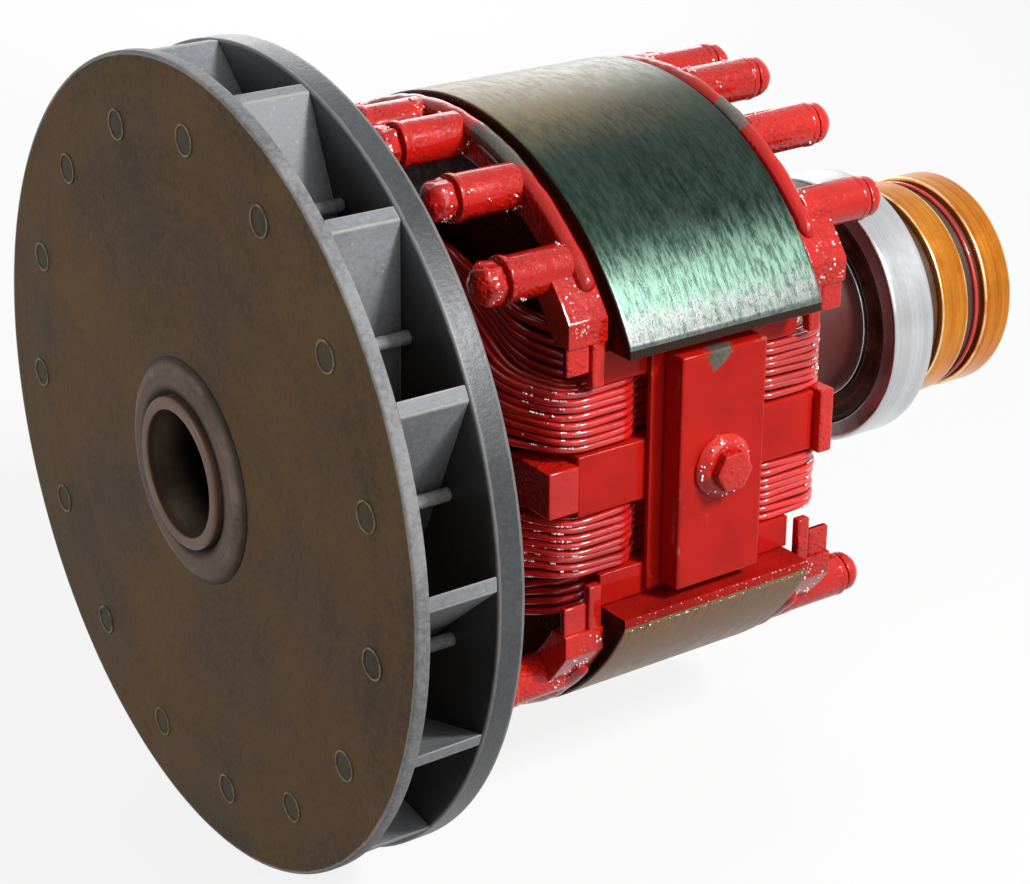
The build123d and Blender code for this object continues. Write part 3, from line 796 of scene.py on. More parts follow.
shaft, colour = metal_finish(
    "oily_shaft_steel", (0.20, 0.15, 0.11), (0.34, 0.27, 0.21), 600.0, (0.38, 0.55), 0.00006)
place = shaft.use(shaft_place)
lip = shaft.remap(place["Along"], *lip_along)
inside = shaft.times(shaft.maths("LESS_THAN", place["Radius"], bore_edge),
                     shaft.remap(place["Along"], *bore_shade_along))
from_fan = shaft.remap(place["Along"], *varnish_start)
to_bearing = shaft.remap(place["Along"], *varnish_stop)
thick_part = shaft.maths("GREATER_THAN", place["Radius"], varnish_edge)
varnished = shaft.times(shaft.times(from_fan, to_bearing), thick_part)
colour = shaft.mix(lip, colour, (0.095, 0.048, 0.026))
# Painted shade inside the bore.
colour = shaft.mix(inside, colour, (0.018, 0.014, 0.012))
# Dark red varnish, partly painted shade.
colour = shaft.mix(varnished, colour, (0.075, 0.009, 0.007))
covered = shaft.maths("MAXIMUM", varnished, shaft.times(lip, 0.7))
shaft.surface(Base_Color=colour, Metallic=shaft.maths("SUBTRACT", 1.0, covered))
print("finish:", shaft.material.name, "with lip, bore and varnish")

# %% [markdown]
# The bearing's seals are satin rubber whose dark red tint is a painted reflection of the red parts beside
# them, and the slip rings sit on a moulded sleeve of dark brown resin. Both are dull, so a little grain and
# cloud is all they need.

# %% Finish: rubber and moulded resin
def dull_finish(name, dark, light, rough, broad, gloss):
    """A dull moulded surface between two tones, with slightly rubbed edges."""
    finish = Finish(name, Specular_IOR_Level=gloss)
    clouds = finish.use(mottle, broad=broad, fine=420.0, grain=0.5, contrast=1.2)
    rub = finish.use(edge_rub, amount=0.4, patches=80.0)
    colour = finish.mix(clouds["Tone"], dark, light)
    colour = finish.mix(finish.times(rub["Mask"], 0.5), colour, (0.20, 0.12, 0.09))
    finish.surface(Base_Color=colour, Roughness=finish.remap(clouds["Tone"], 0, 1, *rough))
    finish.bump(clouds["Grain"], 0.00012)
    print("finish:", name)
    return finish.material


# Seal rubber, its red tint a painted reflection.
seal_rubber = dull_finish(
    "seal_rubber", (0.018, 0.004, 0.003), (0.07, 0.010, 0.007), (0.30, 0.5), 40.0, 0.2)
moulded_resin = dull_finish(
    "moulded_resin", (0.045, 0.020, 0.013), (0.085, 0.040, 0.026), (0.32, 0.5), 50.0, 0.45)

# %% [markdown]
# The fan is built from two round plates with blades trapped between them. Both plates are turned with
# broken rims. Their rivet holes lie under the rivet heads and need no cutting here.

# %% Fan plates
disc_front, disc_rear = along("fan_disc")
ring_front, ring_rear = along("fan_ring")
disc_inner, fan_radius = radii("fan_disc")
ring_inner = radii("fan_ring")[0]
disc_corners = hoop((disc_front, disc_rear), (disc_inner, fan_radius), 0, 1.3, 0.8)
ring_corners = hoop((ring_front, ring_rear), (ring_inner, fan_radius), 0.8, 0.9, 1.2)
make_piece("fan_front_plate", [turned(disc_corners, segments=288)], plate_paint_partly_shade,
           ["fan_disc"])
make_piece("fan_rear_ring", [turned(ring_corners, segments=288)], ring_paint,
           ["fan_ring"])

# %% [markdown]
# Fifteen flat blades lean back from the radius by 37 degrees. A blade is a strip between two parallel
# lines, trimmed by the rim circle and by the circle of the fan's eye, so its four corners are where those
# lines meet those circles.

# %% Fan blades
blade_count = 15
blade_pitch = 360 / blade_count
blade_first_angle = 3.15
blade_lean = math.radians(37)
blade_thickness = 4.6
blade_inner, blade_outer = radii("fan_blades")


def line_on_circle(offset, radius):
    """Where a blade's line, moved sideways from the rim point, crosses a circle on its way in."""
    start = Vector((-fan_radius, 0)) + offset * Vector((math.sin(blade_lean), math.cos(blade_lean)))
    step = Vector((math.cos(blade_lean), -math.sin(blade_lean)))
    middle = -start.dot(step)
    return start + step * (middle - math.sqrt(radius**2 - (start + step * middle).length_squared))


blade_corners = [line_on_circle(side * blade_thickness / 2, radius) for side, radius in (
    (1, blade_outer), (1, blade_inner), (-1, blade_inner), (-1, blade_outer))]
blades = []
for index in range(blade_count):
    turn = -math.radians(blade_first_angle + index * blade_pitch)
    outline = [(y * math.cos(turn) - z * math.sin(turn), y * math.sin(turn) + z * math.cos(turn))
               for y, z in blade_corners]
    blades.append(plate(outline, disc_rear, ring_front, 0.5, 0.9))
make_piece("fan_blade_set", blades, blade_paint, ["fan_blades"])

# %% [markdown]
# A rivet beside each blade ties the plates together. Only its heads show: a dish darkened with painted
# shade, and a pale lip round it where the head was closed on the sheet, partly worn paint and partly a
# painted highlight. Dish and lip are turned into the profile, so that they catch a ring of light.

# %% Rivets
rivet_circle = 132.5
rivet_first_angle = 13.3
rivet_front, rivet_rear = along("fan_rivets")
shank_radius = 2.5
lip_radius = 6.5
head_radius = 4.3


def beside_shaft(circle, degrees):
    """Puts a turned shape on a line parallel to the shaft, at an angle up from the front."""
    y = -circle * math.cos(math.radians(degrees))
    z = circle * math.sin(math.radians(degrees))
    return lambda a, u, v: (a, y + u, z + v)


dished_head = [
    (disc_front - 0.15, 0, 0), (disc_front - 0.3, 3.0, 0), (disc_front - 0.1, 4.9, 0),
    (rivet_front + 0.15, 5.5, 0.4), (rivet_front + 0.15, 5.9, 0.4), (disc_front + 0.1, lip_radius, 0)]
shank = [(disc_front + 0.1, shank_radius, 0), (ring_rear - 0.1, shank_radius, 0)]
round_head = [
    (ring_rear - 0.1, head_radius, 0), (rivet_rear - 0.2, 3.6, 0.4), (rivet_rear, 2.2, 0.4),
    (rivet_rear, 0, 0)]
rivet_angles = [rivet_first_angle + index * blade_pitch for index in range(blade_count)]
rivet_places = [beside_shaft(rivet_circle, angle) for angle in rivet_angles]
make_piece("fan_rivet_set", [turned(dished_head + shank + round_head, place, 40) for place in rivet_places],
           rivet_paint_worn_and_painted_light, ["fan_rivets"])

# %% [markdown]
# The hub boss is welded to the plate, so its foot is a soft uneven bead and not a sharp step. A few tenths
# of a millimetre of lumps make the weld. A shallow groove parts the boss from the shaft, and behind the
# plate a flange and a neck carry it.

# %% Hub boss
hub_front, hub_end = along("fan_hub")
hub_bore, hub_radius = radii("fan_hub")
boss_radius = 39.6
weld_radius = 44.5
neck_radius = 46
flange_rear = disc_rear + 10
boss = [(hub_front + 2.2, hub_bore, 0), (hub_front, hub_bore + 2.4, 0.7), (hub_front, boss_radius, 1.8),
        (hub_front + 1.5, 42.4, 1.0), (disc_front - 0.5, 44.3, 0.6), (disc_front + 0.4, weld_radius, 0),
        (disc_rear, weld_radius, 0)]
flange = [(disc_rear, hub_radius, 0.8), (flange_rear, hub_radius, 1.2), (flange_rear, neck_radius, 1),
          (hub_end, neck_radius, 1.2), (hub_end, hub_bore, 0.3)]
make_piece("fan_hub_boss", [turned(boss + flange, lumps=0.35, lump_size=9)], hub_paint,
           ["fan_hub"])

# %% [markdown]
# The shaft is an open tube that stands a little proud of the boss. Behind the fan it steps up to carry the
# poles, then down to the bearing's seat and to the seat of the slip rings. Inside, a wide bore from the
# drive end meets a narrow hole from the other end.

# %% Shaft
shaft_start, shaft_end = along("shaft")
bearing_front, bearing_rear = along("bearing_inner_race")
sleeve_start, sleeve_end = along("slip_ring_insulator")
bore_radius = 25
bore_depth = 120
nose_radius = 30
body_radius = 38
bearing_seat = 32.5
ring_seat = 31.0
narrow_hole = 11
outside = [(shaft_start, bore_radius, 0.8), (shaft_start, nose_radius, 1.5), (hub_end + 12, nose_radius, 1),
           (hub_end + 24, body_radius, 1), (bearing_front, body_radius, 0.8),
           (bearing_front, bearing_seat, 0.5), (sleeve_start, bearing_seat, 0.5),
           (sleeve_start, ring_seat, 0.5), (shaft_end, ring_seat, 0.8)]
inside = [(shaft_end, narrow_hole, 0.8), (bore_depth, narrow_hole, 0.8), (bore_depth, bore_radius, 1)]
make_piece("hollow_shaft", [turned(outside + inside)], shaft.material, ["shaft"])

# %% [markdown]
# The lamination stack is one outline run along the shaft: two arcs for the pole faces, joined by a narrower
# body with a winding slot on each side. The arcs are cut fine, so the turned faces stay round in the bright
# band of light. The lower pole is the upper one half a turn round, here and in every later step.

# %% Pole stack
pole_start, pole_end = along("pole_core")
pole_middle = (pole_start + pole_end) / 2
face_radius = radii("pole_core")[1]
half_span = 112.0
half_body = 71.0
tip_height = 53.0


def arc(radius, from_degrees, to_degrees, steps):
    """Points (y, z) on a circle, with degrees counted from the top towards +Y."""
    spread = to_degrees - from_degrees
    turns = [math.radians(from_degrees + spread * step / steps) for step in range(steps + 1)]
    return [(radius * math.sin(turn), radius * math.cos(turn)) for turn in turns]


def halfway(outline):
    """The same outline on the lower pole, half a turn round."""
    return [(-y, -z) for y, z in outline]


def mirrored(outline):
    """The same outline on the other side of the pole, its points still in order."""
    return [(-y, z) for y, z in reversed(outline)]


poles = (("upper", 0, list), ("lower", 180, halfway))
pole_ends = (("drive", -1, pole_start), ("ring", 1, pole_end))
half_face = math.degrees(math.asin(half_span / face_radius))
slot_corner = [(half_span, tip_height), (half_body + 3, tip_height), (half_body, tip_height - 3)]
upper_half = mirrored(slot_corner) + arc(face_radius, -half_face, half_face, 96) + slot_corner
stack = plate(upper_half + halfway(upper_half), pole_start, pole_end, 0.5, 1.0)
make_piece("pole_stack", [stack], iron.material, ["pole_core"])

# %% [markdown]
# An arched plate closes each end of a pole. The plates stand a few millimetres clear of the stack on a
# narrower foot, which leaves the dark line beside the pole face. At each corner a thick pad carries the
# arch, a thin leg runs down in front of the coil, and a small hook hangs from the pad's far end.

# %% End plates
plate_radius = 122.5
plate_inner = 110.0
plate_angle = 57.0
base_height = 61.0
foot_depth = 3
arch_depth = 6.5
pad_depth = 17.5
pad_edge = 102.2
pad_bottom = 58.5
pad_angle = 46.5
corner_y = base_height * math.tan(math.radians(plate_angle))
arch_angle = math.degrees(math.acos(base_height / plate_inner))


def arch(radius):
    """An arched outline between two circles, flat where it stands."""
    return [*arc(radius, -plate_angle, plate_angle, 64), (corner_y, base_height),
            *arc(plate_inner, arch_angle, -arch_angle, 48), (-corner_y, base_height)]


pad_edge_angle = math.degrees(math.asin(pad_edge / plate_radius))
pad_outline = [*arc(plate_radius + 0.2, pad_angle, pad_edge_angle, 8), (pad_edge, pad_bottom),
               (93.4, pad_bottom), *arc(plate_inner + 0.2, 57.8, pad_angle, 8)]
leg_outline = [(97.6, 40.4), (101.8, 40.4), (101.8, 64), (97.6, 64)]
hook_outline = [(97.8, 47), (101, 47), (101, 61), (97.8, 61)]
for pole, _, flip in poles:
    for end, side, face in pole_ends:
        inner = face + side * foot_depth
        outer = inner + side * arch_depth
        far = inner + side * pad_depth
        parts = [plate(flip(arch(plate_radius)), inner, outer, 1.1, 1.2),
                 plate(flip(arch(plate_radius - 4)), face, inner, 0.3, 0.4)]
        for outline, start, stop, rounding, band in (
                (leg_outline, inner + side * 0.2, outer - side * 0.2, 1.0, 1.0),
                (pad_outline, inner - side * 0.2, far, 1.6, 1.2),
                (hook_outline, outer + side * 0.3, far - side * 0.2, 1.0, 1.0)):
            parts.append(plate(flip(outline), start, stop, rounding, band))
            parts.append(plate(flip(mirrored(outline)), start, stop, rounding, band))
        make_piece(f"{pole}_{end}_arch", parts, lumpy_red, [f"{pole}_{end}_end_plate"])

# %% [markdown]
# A rod bent to the pole's curve lies on the rim of each arched plate and ends in a round knob. It is a
# circle carried along an arc. The same helper later makes the wires, so it takes any path, open or closed,
# with a width at each point.

# %% Rim rods
def unworn(points, faces):
    """A shape without any edge that rubs."""
    return points, [0.0] * len(points), faces


def rod(path, widths, across, closed=True, sides=10):
    """A round rod along a path of points, with its radius at each of them."""
    points = []
    count = len(path)
    for index, point in enumerate(path):
        before = path[index - 1] if closed else path[max(index - 1, 0)]
        after = path[(index + 1) % count] if closed else path[min(index + 1, count - 1)]
        ahead = (after - before).normalized()
        out = ahead.cross(across).normalized()
        up = out.cross(ahead)
        for step in range(sides):
            turn = 2 * math.pi * step / sides
            points.append((point + (out * math.cos(turn) + up * math.sin(turn)) * widths[index]) * MM)
    faces = skin(count, sides, closed)
    if not closed:
        faces.append(list(range(sides)))
        faces.append([(count - 1) * sides + step for step in range(sides)])
    return unworn(points, faces)


rod_circle = 121.7
rod_radius = 4.0
rod_angle = 51.5
rod_offset = 7.0
rod_lumps = 0.55
rod_lump_size = 8
shaft_line = Vector((1, 0, 0))
knob_angle = math.degrees(rod_radius / rod_circle)
rod_turns = np.linspace(-rod_angle, rod_angle, 141)
knob_turns = [rod_angle - knob_angle * share for share in (0.002, 0.02, 0.07, 0.17, 0.32, 0.5, 0.75)]
straight_turns = [turn for turn in rod_turns if abs(turn) < rod_angle - knob_angle]
rod_turns = sorted(straight_turns + knob_turns + [-turn for turn in knob_turns])
for pole, _, flip in poles:
    for end, side, face in pole_ends:
        path, widths = [], []
        for turn in rod_turns:
            y, z = flip(arc(rod_circle, turn, turn, 1))[0]
            path.append(Vector((face + side * rod_offset, y, z)))
            past = max((abs(turn) - rod_angle + knob_angle) / knob_angle, 0)
            width = rod_radius * math.sqrt(1 - past**2) + rod_lumps * field.noise(path[-1] / rod_lump_size)
            widths.append(max(width, 0.1))
        bar = rod(path, widths, shaft_line, False, 20)
        make_piece(f"{pole}_{end}_rim_bar", [bar], bar_red, [f"{pole}_{end}_end_bar"])

# %% [markdown]
# Sleeves on long studs hold the end turns of the coils. Each is a short tube with a low collar and a nut
# that is almost as wide, all drowned in varnish. Noise moves the turned surface in and out, so no two look
# alike. The nuts beside the fan keep a trace of their hexagon, the ones beside the bearing have run into
# smooth knobs.

# %% Sleeves and studs
stud_circle = 117.0
stud_angles = [90 + side * angle for side in (-1, 1) for angle in (6.5, 25.7, 44.9)]
stud_radius = 4.7
sleeve_radius = 8.75
sleeve_seat = 9
nut_radius = 8.2
collars = {"drive": 9.4, "ring": 9.0}


def sleeve_end_at(pole, end, side):
    """Where the free end of a set of sleeves lies along the shaft."""
    return along(f"{pole}_{end}_sleeves")[0 if side < 0 else 1]


def sleeve_profile(seat, free, side, collar):
    return [(seat, stud_radius, 0), (seat, sleeve_radius, 0.8), (free - side * 3.0, sleeve_radius, 0.8),
            (free - side * 2.4, collar, 0.9), (free, collar, 0.9), (free, stud_radius, 0)]


def nut_profile(free, side, length):
    corners = [(-1.0, 0, 0), (-1.0, 6.0, 0), (0.9, 6.0, 0.2), (1.1, nut_radius, 0.7),
               (length - 4, nut_radius, 1.8), (length - 1, 5.4, 2), (length, 2.6, 1), (length, 0, 0)]
    return [(free + side * a, r, rounding) for a, r, rounding in corners]


def hexagonal(place):
    """Squeezes a turned shape's circle into a soft hexagon."""
    def squeezed(a, u, v):
        turn = math.atan2(v, u) % (math.pi / 3) - math.pi / 6
        share = 0.45 + 0.55 * math.cos(math.pi / 6) / math.cos(turn)
        return place(a, u * share, v * share)
    return squeezed


for pole, shift, _ in poles:
    places = [beside_shaft(stud_circle, angle + shift) for angle in stud_angles]
    nuts = []
    for end, side, face in pole_ends:
        free = sleeve_end_at(pole, end, side)
        profile = sleeve_profile(face + side * sleeve_seat, free, side, collars[end])
        make_piece(f"{pole}_{end}_sleeve_set", [turned(profile, place, 48, 0.45, 6) for place in places],
                   lumpy_red, [f"{pole}_{end}_sleeves"])
        if end == "drive":
            nut = nut_profile(free, side, 11.6)
            nuts.extend(turned(nut, hexagonal(place), 48, 1.1, 4.2) for place in places)
        else:
            nut = nut_profile(free, side, 9.0)
            nuts.extend(turned(nut, place, 40, 0.35, 6) for place in places)
    make_piece(f"{pole}_stud_nuts", nuts, lumpy_red, [f"{pole}_studs"])

# %% [markdown]
# A field coil is a saddle of round wire: straight in the slots, then up and over the shaft at each end.
# Seen from above every wire follows a rectangle whose corners are cut off, more so on the outside of the
# coil than on the inside, and its height blends from the slot to the arch over the shaft. The inner half is
# heaped higher than the outer, because the wedges press only on the outer half. Under the clamp's base
# plate the wires are tucked deeper into the slot, which leaves a dark gap beside the plate.

# %% Coil paths
inner_plan = (48.05, 73.0, 3.0, 5.0, 3.0)
outer_plan = (78.05, 97.0, 16.0, 27.0, 9.0)
coil_bottom = 13.6
coil_top = 38.6
coil_depth = coil_top - coil_bottom
coil_crown = 72.0
crown_rise = 28.4
low_arch = 77.6
high_arch = 92
end_turn_start = 38
end_turn_length = 28
tuck = 8.0
clamp_reach = pole_middle - along("front_base_plate")[0] - 2
loop_points = 216


def cut_rectangle(half_x, half_y, cut_x, cut_y, rounding):
    """Evenly spaced points round a rectangle with its corners cut off and each bend rounded."""
    quarter = [(half_x - cut_x, -half_y), (half_x, cut_y - half_y)]
    half = quarter + [(x, -y) for x, y in reversed(quarter)]
    corners = [(x, y, rounding) for x, y in half] + [(-x, -y, rounding) for x, y in half]
    outline = np.array([point[:2] for point in round_corners(corners, 6)])
    outline = np.vstack([outline, outline[:1]])
    travelled = np.concatenate([[0], np.cumsum(np.hypot(*np.diff(outline, axis=0).T))])
    marks = np.linspace(0, travelled[-1], loop_points, endpoint=False)
    return list(zip(np.interp(marks, travelled, outline[:, 0]), np.interp(marks, travelled, outline[:, 1])))


def bell(share):
    """A smooth fall from 1 in the middle to 0 at either end."""
    return 0.5 + 0.5 * math.cos(math.pi * min(abs(share), 1))


def kept_within(value, least, most):
    return min(max(value, least), most)


def eased(value, start, length):
    """A smooth rise from 0 at the start to 1 after the length."""
    share = kept_within((value - start) / length, 0, 1)
    return share * share * (3 - 2 * share)


def coil_loop(layer, level):
    """A closed path through the coil: layer runs from inside to outside, level from bottom to top."""
    plan = [low + (high - low) * layer for low, high in zip(inner_plan, outer_plan)]
    filled = min(level, 1)
    side_z = coil_bottom + coil_depth * filled
    path = []
    for x, y in cut_rectangle(*plan):
        low = coil_bottom + crown_rise * bell(y / low_arch)
        high = coil_top + (coil_crown - coil_top) * bell(y / high_arch)
        heaped = max(level - 1, 0) * coil_depth * (1 - 0.8 * bell(y / high_arch))
        share = eased(abs(x), end_turn_start, end_turn_length)
        y -= math.copysign(tuck * layer * (1 - eased(abs(x), clamp_reach, 11)), y)
        z = side_z + (low + (high - low) * filled - side_z) * share + heaped * (1 + 0.4 * share)
        path.append(Vector((pole_middle + x, y, z)))
    return path


print("half a clamp plate, in mm along the shaft:", round(clamp_reach, 2))

# %% [markdown]
# The wires on the outside of a coil are modelled one by one, because the gaps between them make the coil
# read as wound. Each wanders a little from its row, by a seeded draw. A nearly black red body fills the
# inside, as painted shade in the gaps between the wires.

# %% Field coils
import random

wire_radius = 1.5
full_rows = 8
full_columns = 8
all_rows = 13
inner_columns = 5


def wire_share(index):
    """How far through the coil a row or a column of wires lies."""
    return 0.06 + 0.88 * index / 7


def coil_core():
    """The inside of the coil, a little smaller than the wires round it."""
    section = [(0.07, 0.06), (0.93, 0.06), (0.93, 0.94), (0.52, 0.94), (0.52, 1.52), (0.07, 1.52)]
    loops = [coil_loop(layer, level) for layer, level in section]
    points = [loop[index] * MM for index in range(loop_points) for loop in loops]
    return unworn(points, skin(loop_points, len(section)))


def coil_wires(seed):
    """The wires of the coil's outer layers, each wandering a little from its row."""
    chance = random.Random(seed)
    shapes = []
    for row in range(all_rows):
        last = (full_columns if row < full_rows else inner_columns) - 1
        for column in range(last + 1):
            on_step = row == full_rows - 1 and column >= inner_columns - 1
            if row not in (0, all_rows - 1) and column not in (0, last) and not on_step:
                continue
            phase = chance.uniform(0, 6.28)
            sway = chance.uniform(0.2, 0.7)
            turns = chance.choice((5, 7, 9, 11))
            path = []
            for index, point in enumerate(coil_loop(wire_share(column), wire_share(row))):
                wave = phase + turns * 2 * math.pi * index / loop_points
                aside = 0.3 * math.cos(wave)
                path.append(point + Vector((aside, aside, sway * math.sin(wave))))
            shapes.append(rod(path, [wire_radius] * loop_points, Vector((0, 0, 1))))
    return shapes


def lower_side(shape):
    """The same shape on the lower pole, half a turn round the shaft."""
    points, edges, faces = shape
    return [Vector((point[0], -point[1], -point[2])) for point in points], edges, faces


make_piece("upper_coil_wires", coil_wires(3), wire_red, ["upper_field_coil"])
make_piece("lower_coil_wires", [lower_side(shape) for shape in coil_wires(8)], wire_red,
           ["lower_field_coil"])
make_piece("upper_coil_body", [coil_core()], shadow_red, [])
make_piece("lower_coil_body", [lower_side(coil_core())], shadow_red, [])

# %% [markdown]
# In each gap between the poles a stack of boards keeps the two coils apart: a spacer with end blocks,
# wedges under the pole tips, a thin base plate and a thick cover plate drawn down by one bolt. They are
# sawn boards, so each is a softened block taken straight from its CAD box.

# %% Interpole clamps
def boxes(node):
    """Corner pairs of every solid in a node, wedges parted by height and end blocks along the shaft."""
    points = np.array([vertex.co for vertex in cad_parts[node].data.vertices]) / MM
    groups = [points]
    if "wedges" in node:
        groups = [points[points[:, 2] > 0], points[points[:, 2] < 0]]
    if "end_blocks" in node:
        groups = [points[points[:, 0] < pole_middle], points[points[:, 0] > pole_middle]]
    return [(group.min(0), group.max(0)) for group in groups]


board_finish = {"spacer": (plate_red, 0.9), "end_blocks": (lumpy_red, 0.9), "slot_wedges": (plate_red, 0.5),
                "base_plate": (plate_red, 0.6), "cover_plate": (cover_red, 1.1)}
for side in ("front", "rear"):
    for board, (finish, rounding) in board_finish.items():
        node = f"{side}_{board}"
        make_piece(f"{node}_board", [block(low, high, rounding, 0.8) for low, high in boxes(node)], finish,
                   [node])

# %% [markdown]
# The clamp bolt has a hexagon head on a thick domed washer, painted over with everything else. The head is
# a six-sided outline raised from the washer. The washer's sloping side is turned, with lumps where varnish
# ran down and dried.

# %% Clamp bolts
bolt_width = 15.0
washer_radius = 13.2
cover_face = -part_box("front_cover_plate")[0].y / MM
bolt_top = -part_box("front_cover_bolt")[0].y / MM
washer_top = cover_face + 4.2


def across_clamp(direction):
    """Puts a turned shape on the clamp's bolt line, out through the cover plate."""
    return lambda a, u, v: (pole_middle + u, direction * a, v)


def hexagon_head(direction, base, top):
    radius = bolt_width / math.sqrt(3)
    turns = [math.radians(60 * step) for step in range(6)]
    flats = [(radius * math.cos(turn), radius * math.sin(turn)) for turn in turns]
    ring = [(pole_middle + u, direction * base, v) for u, v in flats]
    return raised(ring, (0, direction * (top - base), 0), 0.9, 0.8)


washer_corners = [(cover_face - 0.5, 0, 0), (cover_face - 0.5, washer_radius, 0),
                  (cover_face + 0.9, washer_radius, 0.8), (washer_top, 10.0, 1.4), (washer_top, 0, 0)]
for side, direction in (("front", -1), ("rear", 1)):
    washer = turned(washer_corners, across_clamp(direction), 64, 0.5, 6)
    make_piece(f"{side}_clamp_bolt", [washer, hexagon_head(direction, washer_top - 0.3, bolt_top)],
               lumpy_red, [f"{side}_cover_bolt"])

# %% [markdown]
# Where thick varnish drips, it dries as small beads. Their pale, partly metallic colour is a painted
# glint, so they show as white sparkles from every side. They are too small for the CAD model but make the
# rotor look wet. Each is a little ball, a little out of round, sunk halfway into what carries it.

# %% Varnish beads
painted_glint_beads = Finish("varnish_beads_painted_glint", Coat_Weight=1.0, Coat_Roughness=0.05, Roughness=0.22)
grain = painted_glint_beads.use(mottle, broad=90.0, fine=600.0, grain=0.6, contrast=1.2)
# Pale, partly metallic colour: a painted glint.
painted_glint_beads.surface(Base_Color=painted_glint_beads.mix(grain["Tone"], (0.70, 0.30, 0.28), (0.95, 0.78, 0.76)),
                     Metallic=painted_glint_beads.remap(grain["Tone"], 0.2, 0.8, 0.2, 0.9))
ball = bmesh.new()
bmesh.ops.create_icosphere(ball, subdivisions=2, radius=1)
ball_points = [vertex.co.copy() for vertex in ball.verts]
ball_faces = [[vertex.index for vertex in face.verts] for face in ball.faces]
ball.free()


def bead(spot, radius):
    """A small dried drop of varnish."""
    middle = Vector(spot)
    swell = [1 + 0.3 * field.noise(point + middle) for point in ball_points]
    points = [(middle + point * radius * share) * MM for point, share in zip(ball_points, swell)]
    return unworn(points, ball_faces)


def drop_radius(chance, least=0.15, spread=0.6):
    """Mostly small drops, and a few larger ones."""
    return least + spread * chance.random() ** 2


print("finish:", painted_glint_beads.material.name, "faces to a bead:", len(ball_faces))

# %% [markdown]
# The beads gather round the roots of the sleeves, on nuts and pads, on the bends of the wires, on the bolt
# and along one pole tip. A seeded draw places them in clusters and short runs, so that every run of the
# lesson puts them in the same places.

# %% Bead places
nut_bead_circle = 7.7
nut_bead_ends = {-1: 7.0, 1: 4.6}
nut_bead_clusters = {-1: 5, 1: 2}


def pad_beads(chance, inner, side, flip):
    """Clusters of beads over the outer faces of an end plate's two pads."""
    drops = []
    for _ in range(18):
        turn = chance.uniform(47, 60)
        away = chance.uniform(1, 16.5)
        mirror = chance.choice((-1, 1))
        for _ in range(chance.randint(2, 9)):
            here = math.radians(kept_within(turn + chance.gauss(0, 0.8), 46.8, 60.4))
            y = min(plate_radius * math.sin(here), pad_edge) * mirror
            y, z = flip([(y, plate_radius * math.cos(here))])[0]
            x = inner + side * kept_within(away + chance.gauss(0, 1.6), 0.6, 16.8)
            drops.append(bead((x, y, z), drop_radius(chance)))
    return drops


def sleeve_beads(chance, seat, free, side, place):
    """Clusters of beads round a sleeve's root, along it and on its nut."""
    length = abs(free - seat)
    on_sleeve = (sleeve_radius + 0.1, 0, length - 3.2)
    on_nut = (nut_bead_circle, length + 1.6, length + nut_bead_ends[side])
    clusters = [(abs(chance.gauss(0, 3)), *on_sleeve) for _ in range(7)]
    clusters += [(chance.uniform(3, length - 4), *on_sleeve) for _ in range(2)]
    clusters += [(length + chance.uniform(2, 5), *on_nut) for _ in range(nut_bead_clusters[side])]
    drops = []
    for away, radius, least, most in clusters:
        turn = chance.uniform(0, 2 * math.pi)
        for _ in range(chance.randint(2, 8)):
            here = turn + chance.gauss(0, 0.17)
            on_length = kept_within(away + chance.gauss(0, 1.2), least, most)
            spot = place(seat + side * on_length, radius * math.cos(here), radius * math.sin(here))
            drops.append(bead(spot, drop_radius(chance)))
    return drops


def bend_beads(chance, flip):
    """Short runs of beads on the outermost wires where they turn round the corners of the coil."""
    drops = []
    for row in range(full_rows):
        path = coil_loop(wire_share(full_columns - 1), wire_share(row))
        corners = [index for index, point in enumerate(path[:-1])
                   if 56 < abs(point.x - pole_middle) < 74 and abs(point.y) > 78]
        for index in chance.sample(corners, min(14, len(corners))):
            for share in (0.0, 0.2, 0.4, 0.6, 0.8)[:chance.randint(2, 5)]:
                point = path[index].lerp(path[index + 1], share)
                out = Vector((point.x - pole_middle, 2.2 * point.y, 0)).normalized()
                y, z = flip([(point.y + out.y * 1.3, point.z + 0.9)])[0]
                drops.append(bead((point.x + out.x * 1.3, y, z), chance.uniform(0.25, 0.55)))
    return drops


def tip_beads(chance, flip):
    """A line of beads along a pole tip, most of them on its upper edge."""
    tip_depth = math.sqrt(face_radius**2 - half_span**2) - tip_height - 0.2
    drops = []
    for _ in range(150):
        x = chance.uniform(pole_start + 1, pole_end - 1)
        rise = chance.choice((0.3, tip_depth, tip_depth, tip_depth, chance.uniform(0.5, tip_depth)))
        y, z = flip([(half_span, tip_height + rise)])[0]
        drops.append(bead((x, y, z), drop_radius(chance, 0.12, 0.3)))
    return drops


def washer_beads(chance, direction):
    """Beads on the sloping side of a clamp bolt's washer."""
    drops = []
    for _ in range(30):
        turn = chance.uniform(0, 2 * math.pi)
        out = chance.uniform(9, 12.6)
        height = min(washer_top, cover_face + 1 + (washer_radius - out) * 1.03)
        spot = across_clamp(direction)(height, out * math.cos(turn), out * math.sin(turn))
        drops.append(bead(spot, chance.uniform(0.25, 0.7)))
    return drops


chance = random.Random(21)
for pole, shift, flip in poles:
    drops = bend_beads(chance, flip)
    for end, side, face in pole_ends:
        drops += pad_beads(chance, face + side * foot_depth, side, flip)
        free = sleeve_end_at(pole, end, side)
        for angle in stud_angles:
            place = beside_shaft(stud_circle, angle + shift)
            drops += sleeve_beads(chance, face + side * sleeve_seat, free, side, place)
    drops += tip_beads(chance, flip)
    drops += washer_beads(chance, 1 if pole == "upper" else -1)
    make_piece(f"{pole}_varnish_beads", drops, painted_glint_beads.material, [])

# %% [markdown]
# The bearing is a sealed ball bearing. Its races are ground steel rings with rounded corners, and each seal
# is a pressed rubber disc with a raised bead near its lip. The outer race and the seals turn on their own
# body.

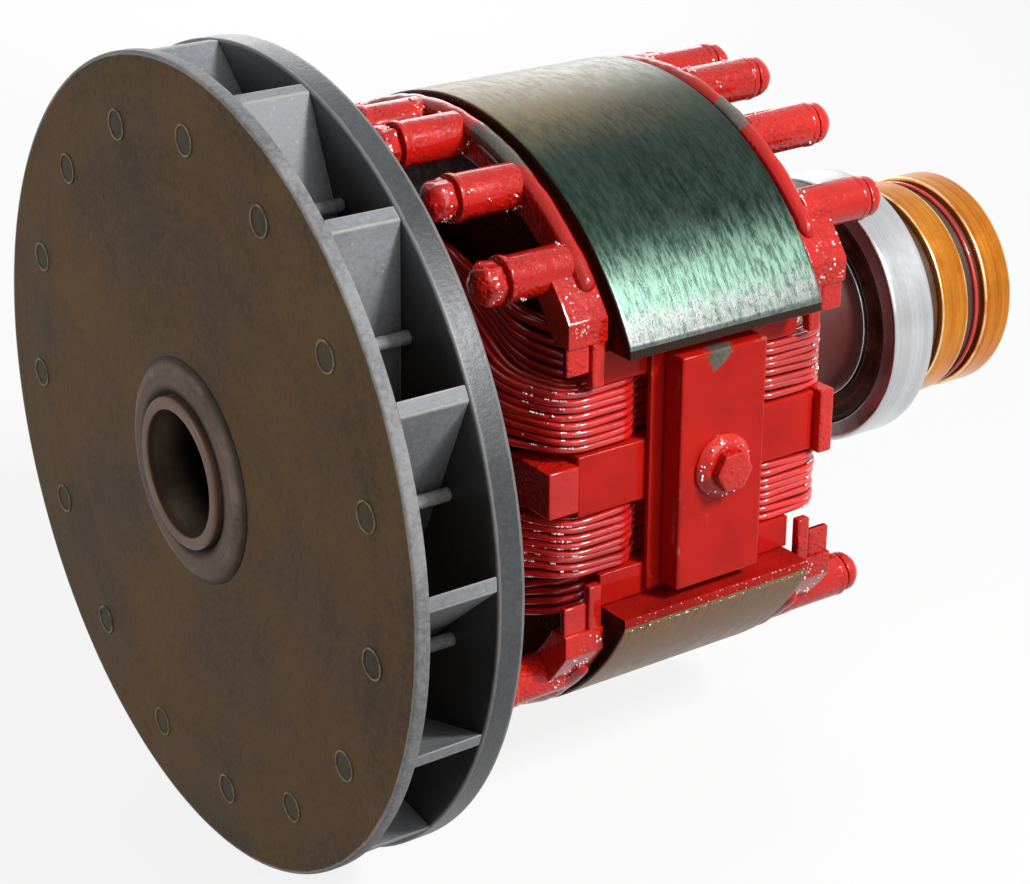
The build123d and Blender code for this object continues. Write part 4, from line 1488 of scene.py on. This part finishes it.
# %% Bearing
bearing_span = (bearing_front, bearing_rear)
race_inner, race_outer = radii("bearing_outer_race")
outer_corners = hoop(bearing_span, (race_inner, race_outer), 0.5, 1.9, 1.9)
inner_corners = hoop(bearing_span, radii("bearing_inner_race"), 0.8, 0.6, 0.6)
make_piece("bearing_outer_ring", [turned(outer_corners, segments=256)], steel.material,
           ["bearing_outer_race"], "bearing_outer")
make_piece("bearing_inner_ring", [turned(inner_corners)], steel.material,
           ["bearing_inner_race"])
seal_front, seal_rear = along("bearing_seals")
seal_inner = radii("bearing_seals")[0]
seal_step = 0.5
seal_depth = 1.6


def seal_profile(face, side):
    """A seal's section from its rim to its lip, side telling which way it faces."""
    sunk = face - side * seal_step
    back = face - side * seal_depth
    return [(face, race_inner, 0), (face, 50.2, 0.4), (sunk, 49.4, 0.4), (sunk, 45.6, 0.4),
            (face, 44.6, 0.4), (face, seal_inner + 1.2, 0.4), (sunk, seal_inner, 0.3),
            (back, seal_inner, 0), (back, race_inner, 0)]


make_piece("bearing_seal_pair", [turned(seal_profile(seal_front, -1)), turned(seal_profile(seal_rear, 1))],
           seal_rubber, ["bearing_seals"], "bearing_outer")

# %% [markdown]
# Two brass rings carry current to the coils through brushes. They are moulded into a resin sleeve whose
# collars stop short of the brass, and the lead to the outer ring lies in the groove between them.

# %% Slip rings
collar = radii("slip_ring_insulator")[1]
ring_core, ring_outer = radii("inboard_slip_ring")
sleeve_corners = [(sleeve_start, ring_seat, 0.5), (sleeve_start, collar, 1)]
for node in ("inboard_slip_ring", "outboard_slip_ring"):
    start, end = along(node)
    band = turned(hoop((start, end), (ring_core, ring_outer), 0.3, 0.9, 0.9), segments=256)
    make_piece(f"{node}_band", [band], brass.material, [node])
    sleeve_corners += [(start, collar, 0.3), (start, ring_core, 0), (end, ring_core, 0), (end, collar, 0.3)]
sleeve_corners += [(sleeve_end, collar, 0.8), (sleeve_end, ring_seat, 0.5)]
make_piece("slip_ring_sleeve", [turned(sleeve_corners)], moulded_resin,
           ["slip_ring_insulator"])
lead_radius = 1.1
groove_start = along("inboard_slip_ring")[1]
groove_end = along("outboard_slip_ring")[0]
lead_along = (groove_start + groove_end) / 2 + 1.6
lead_path = [Vector((lead_along, y, z)) for y, z in arc(collar + 0.5, 0, 357, 119)]
lead = rod(lead_path, [lead_radius] * len(lead_path), shaft_line)
make_piece("slip_ring_lead", [lead], wire_red, [])
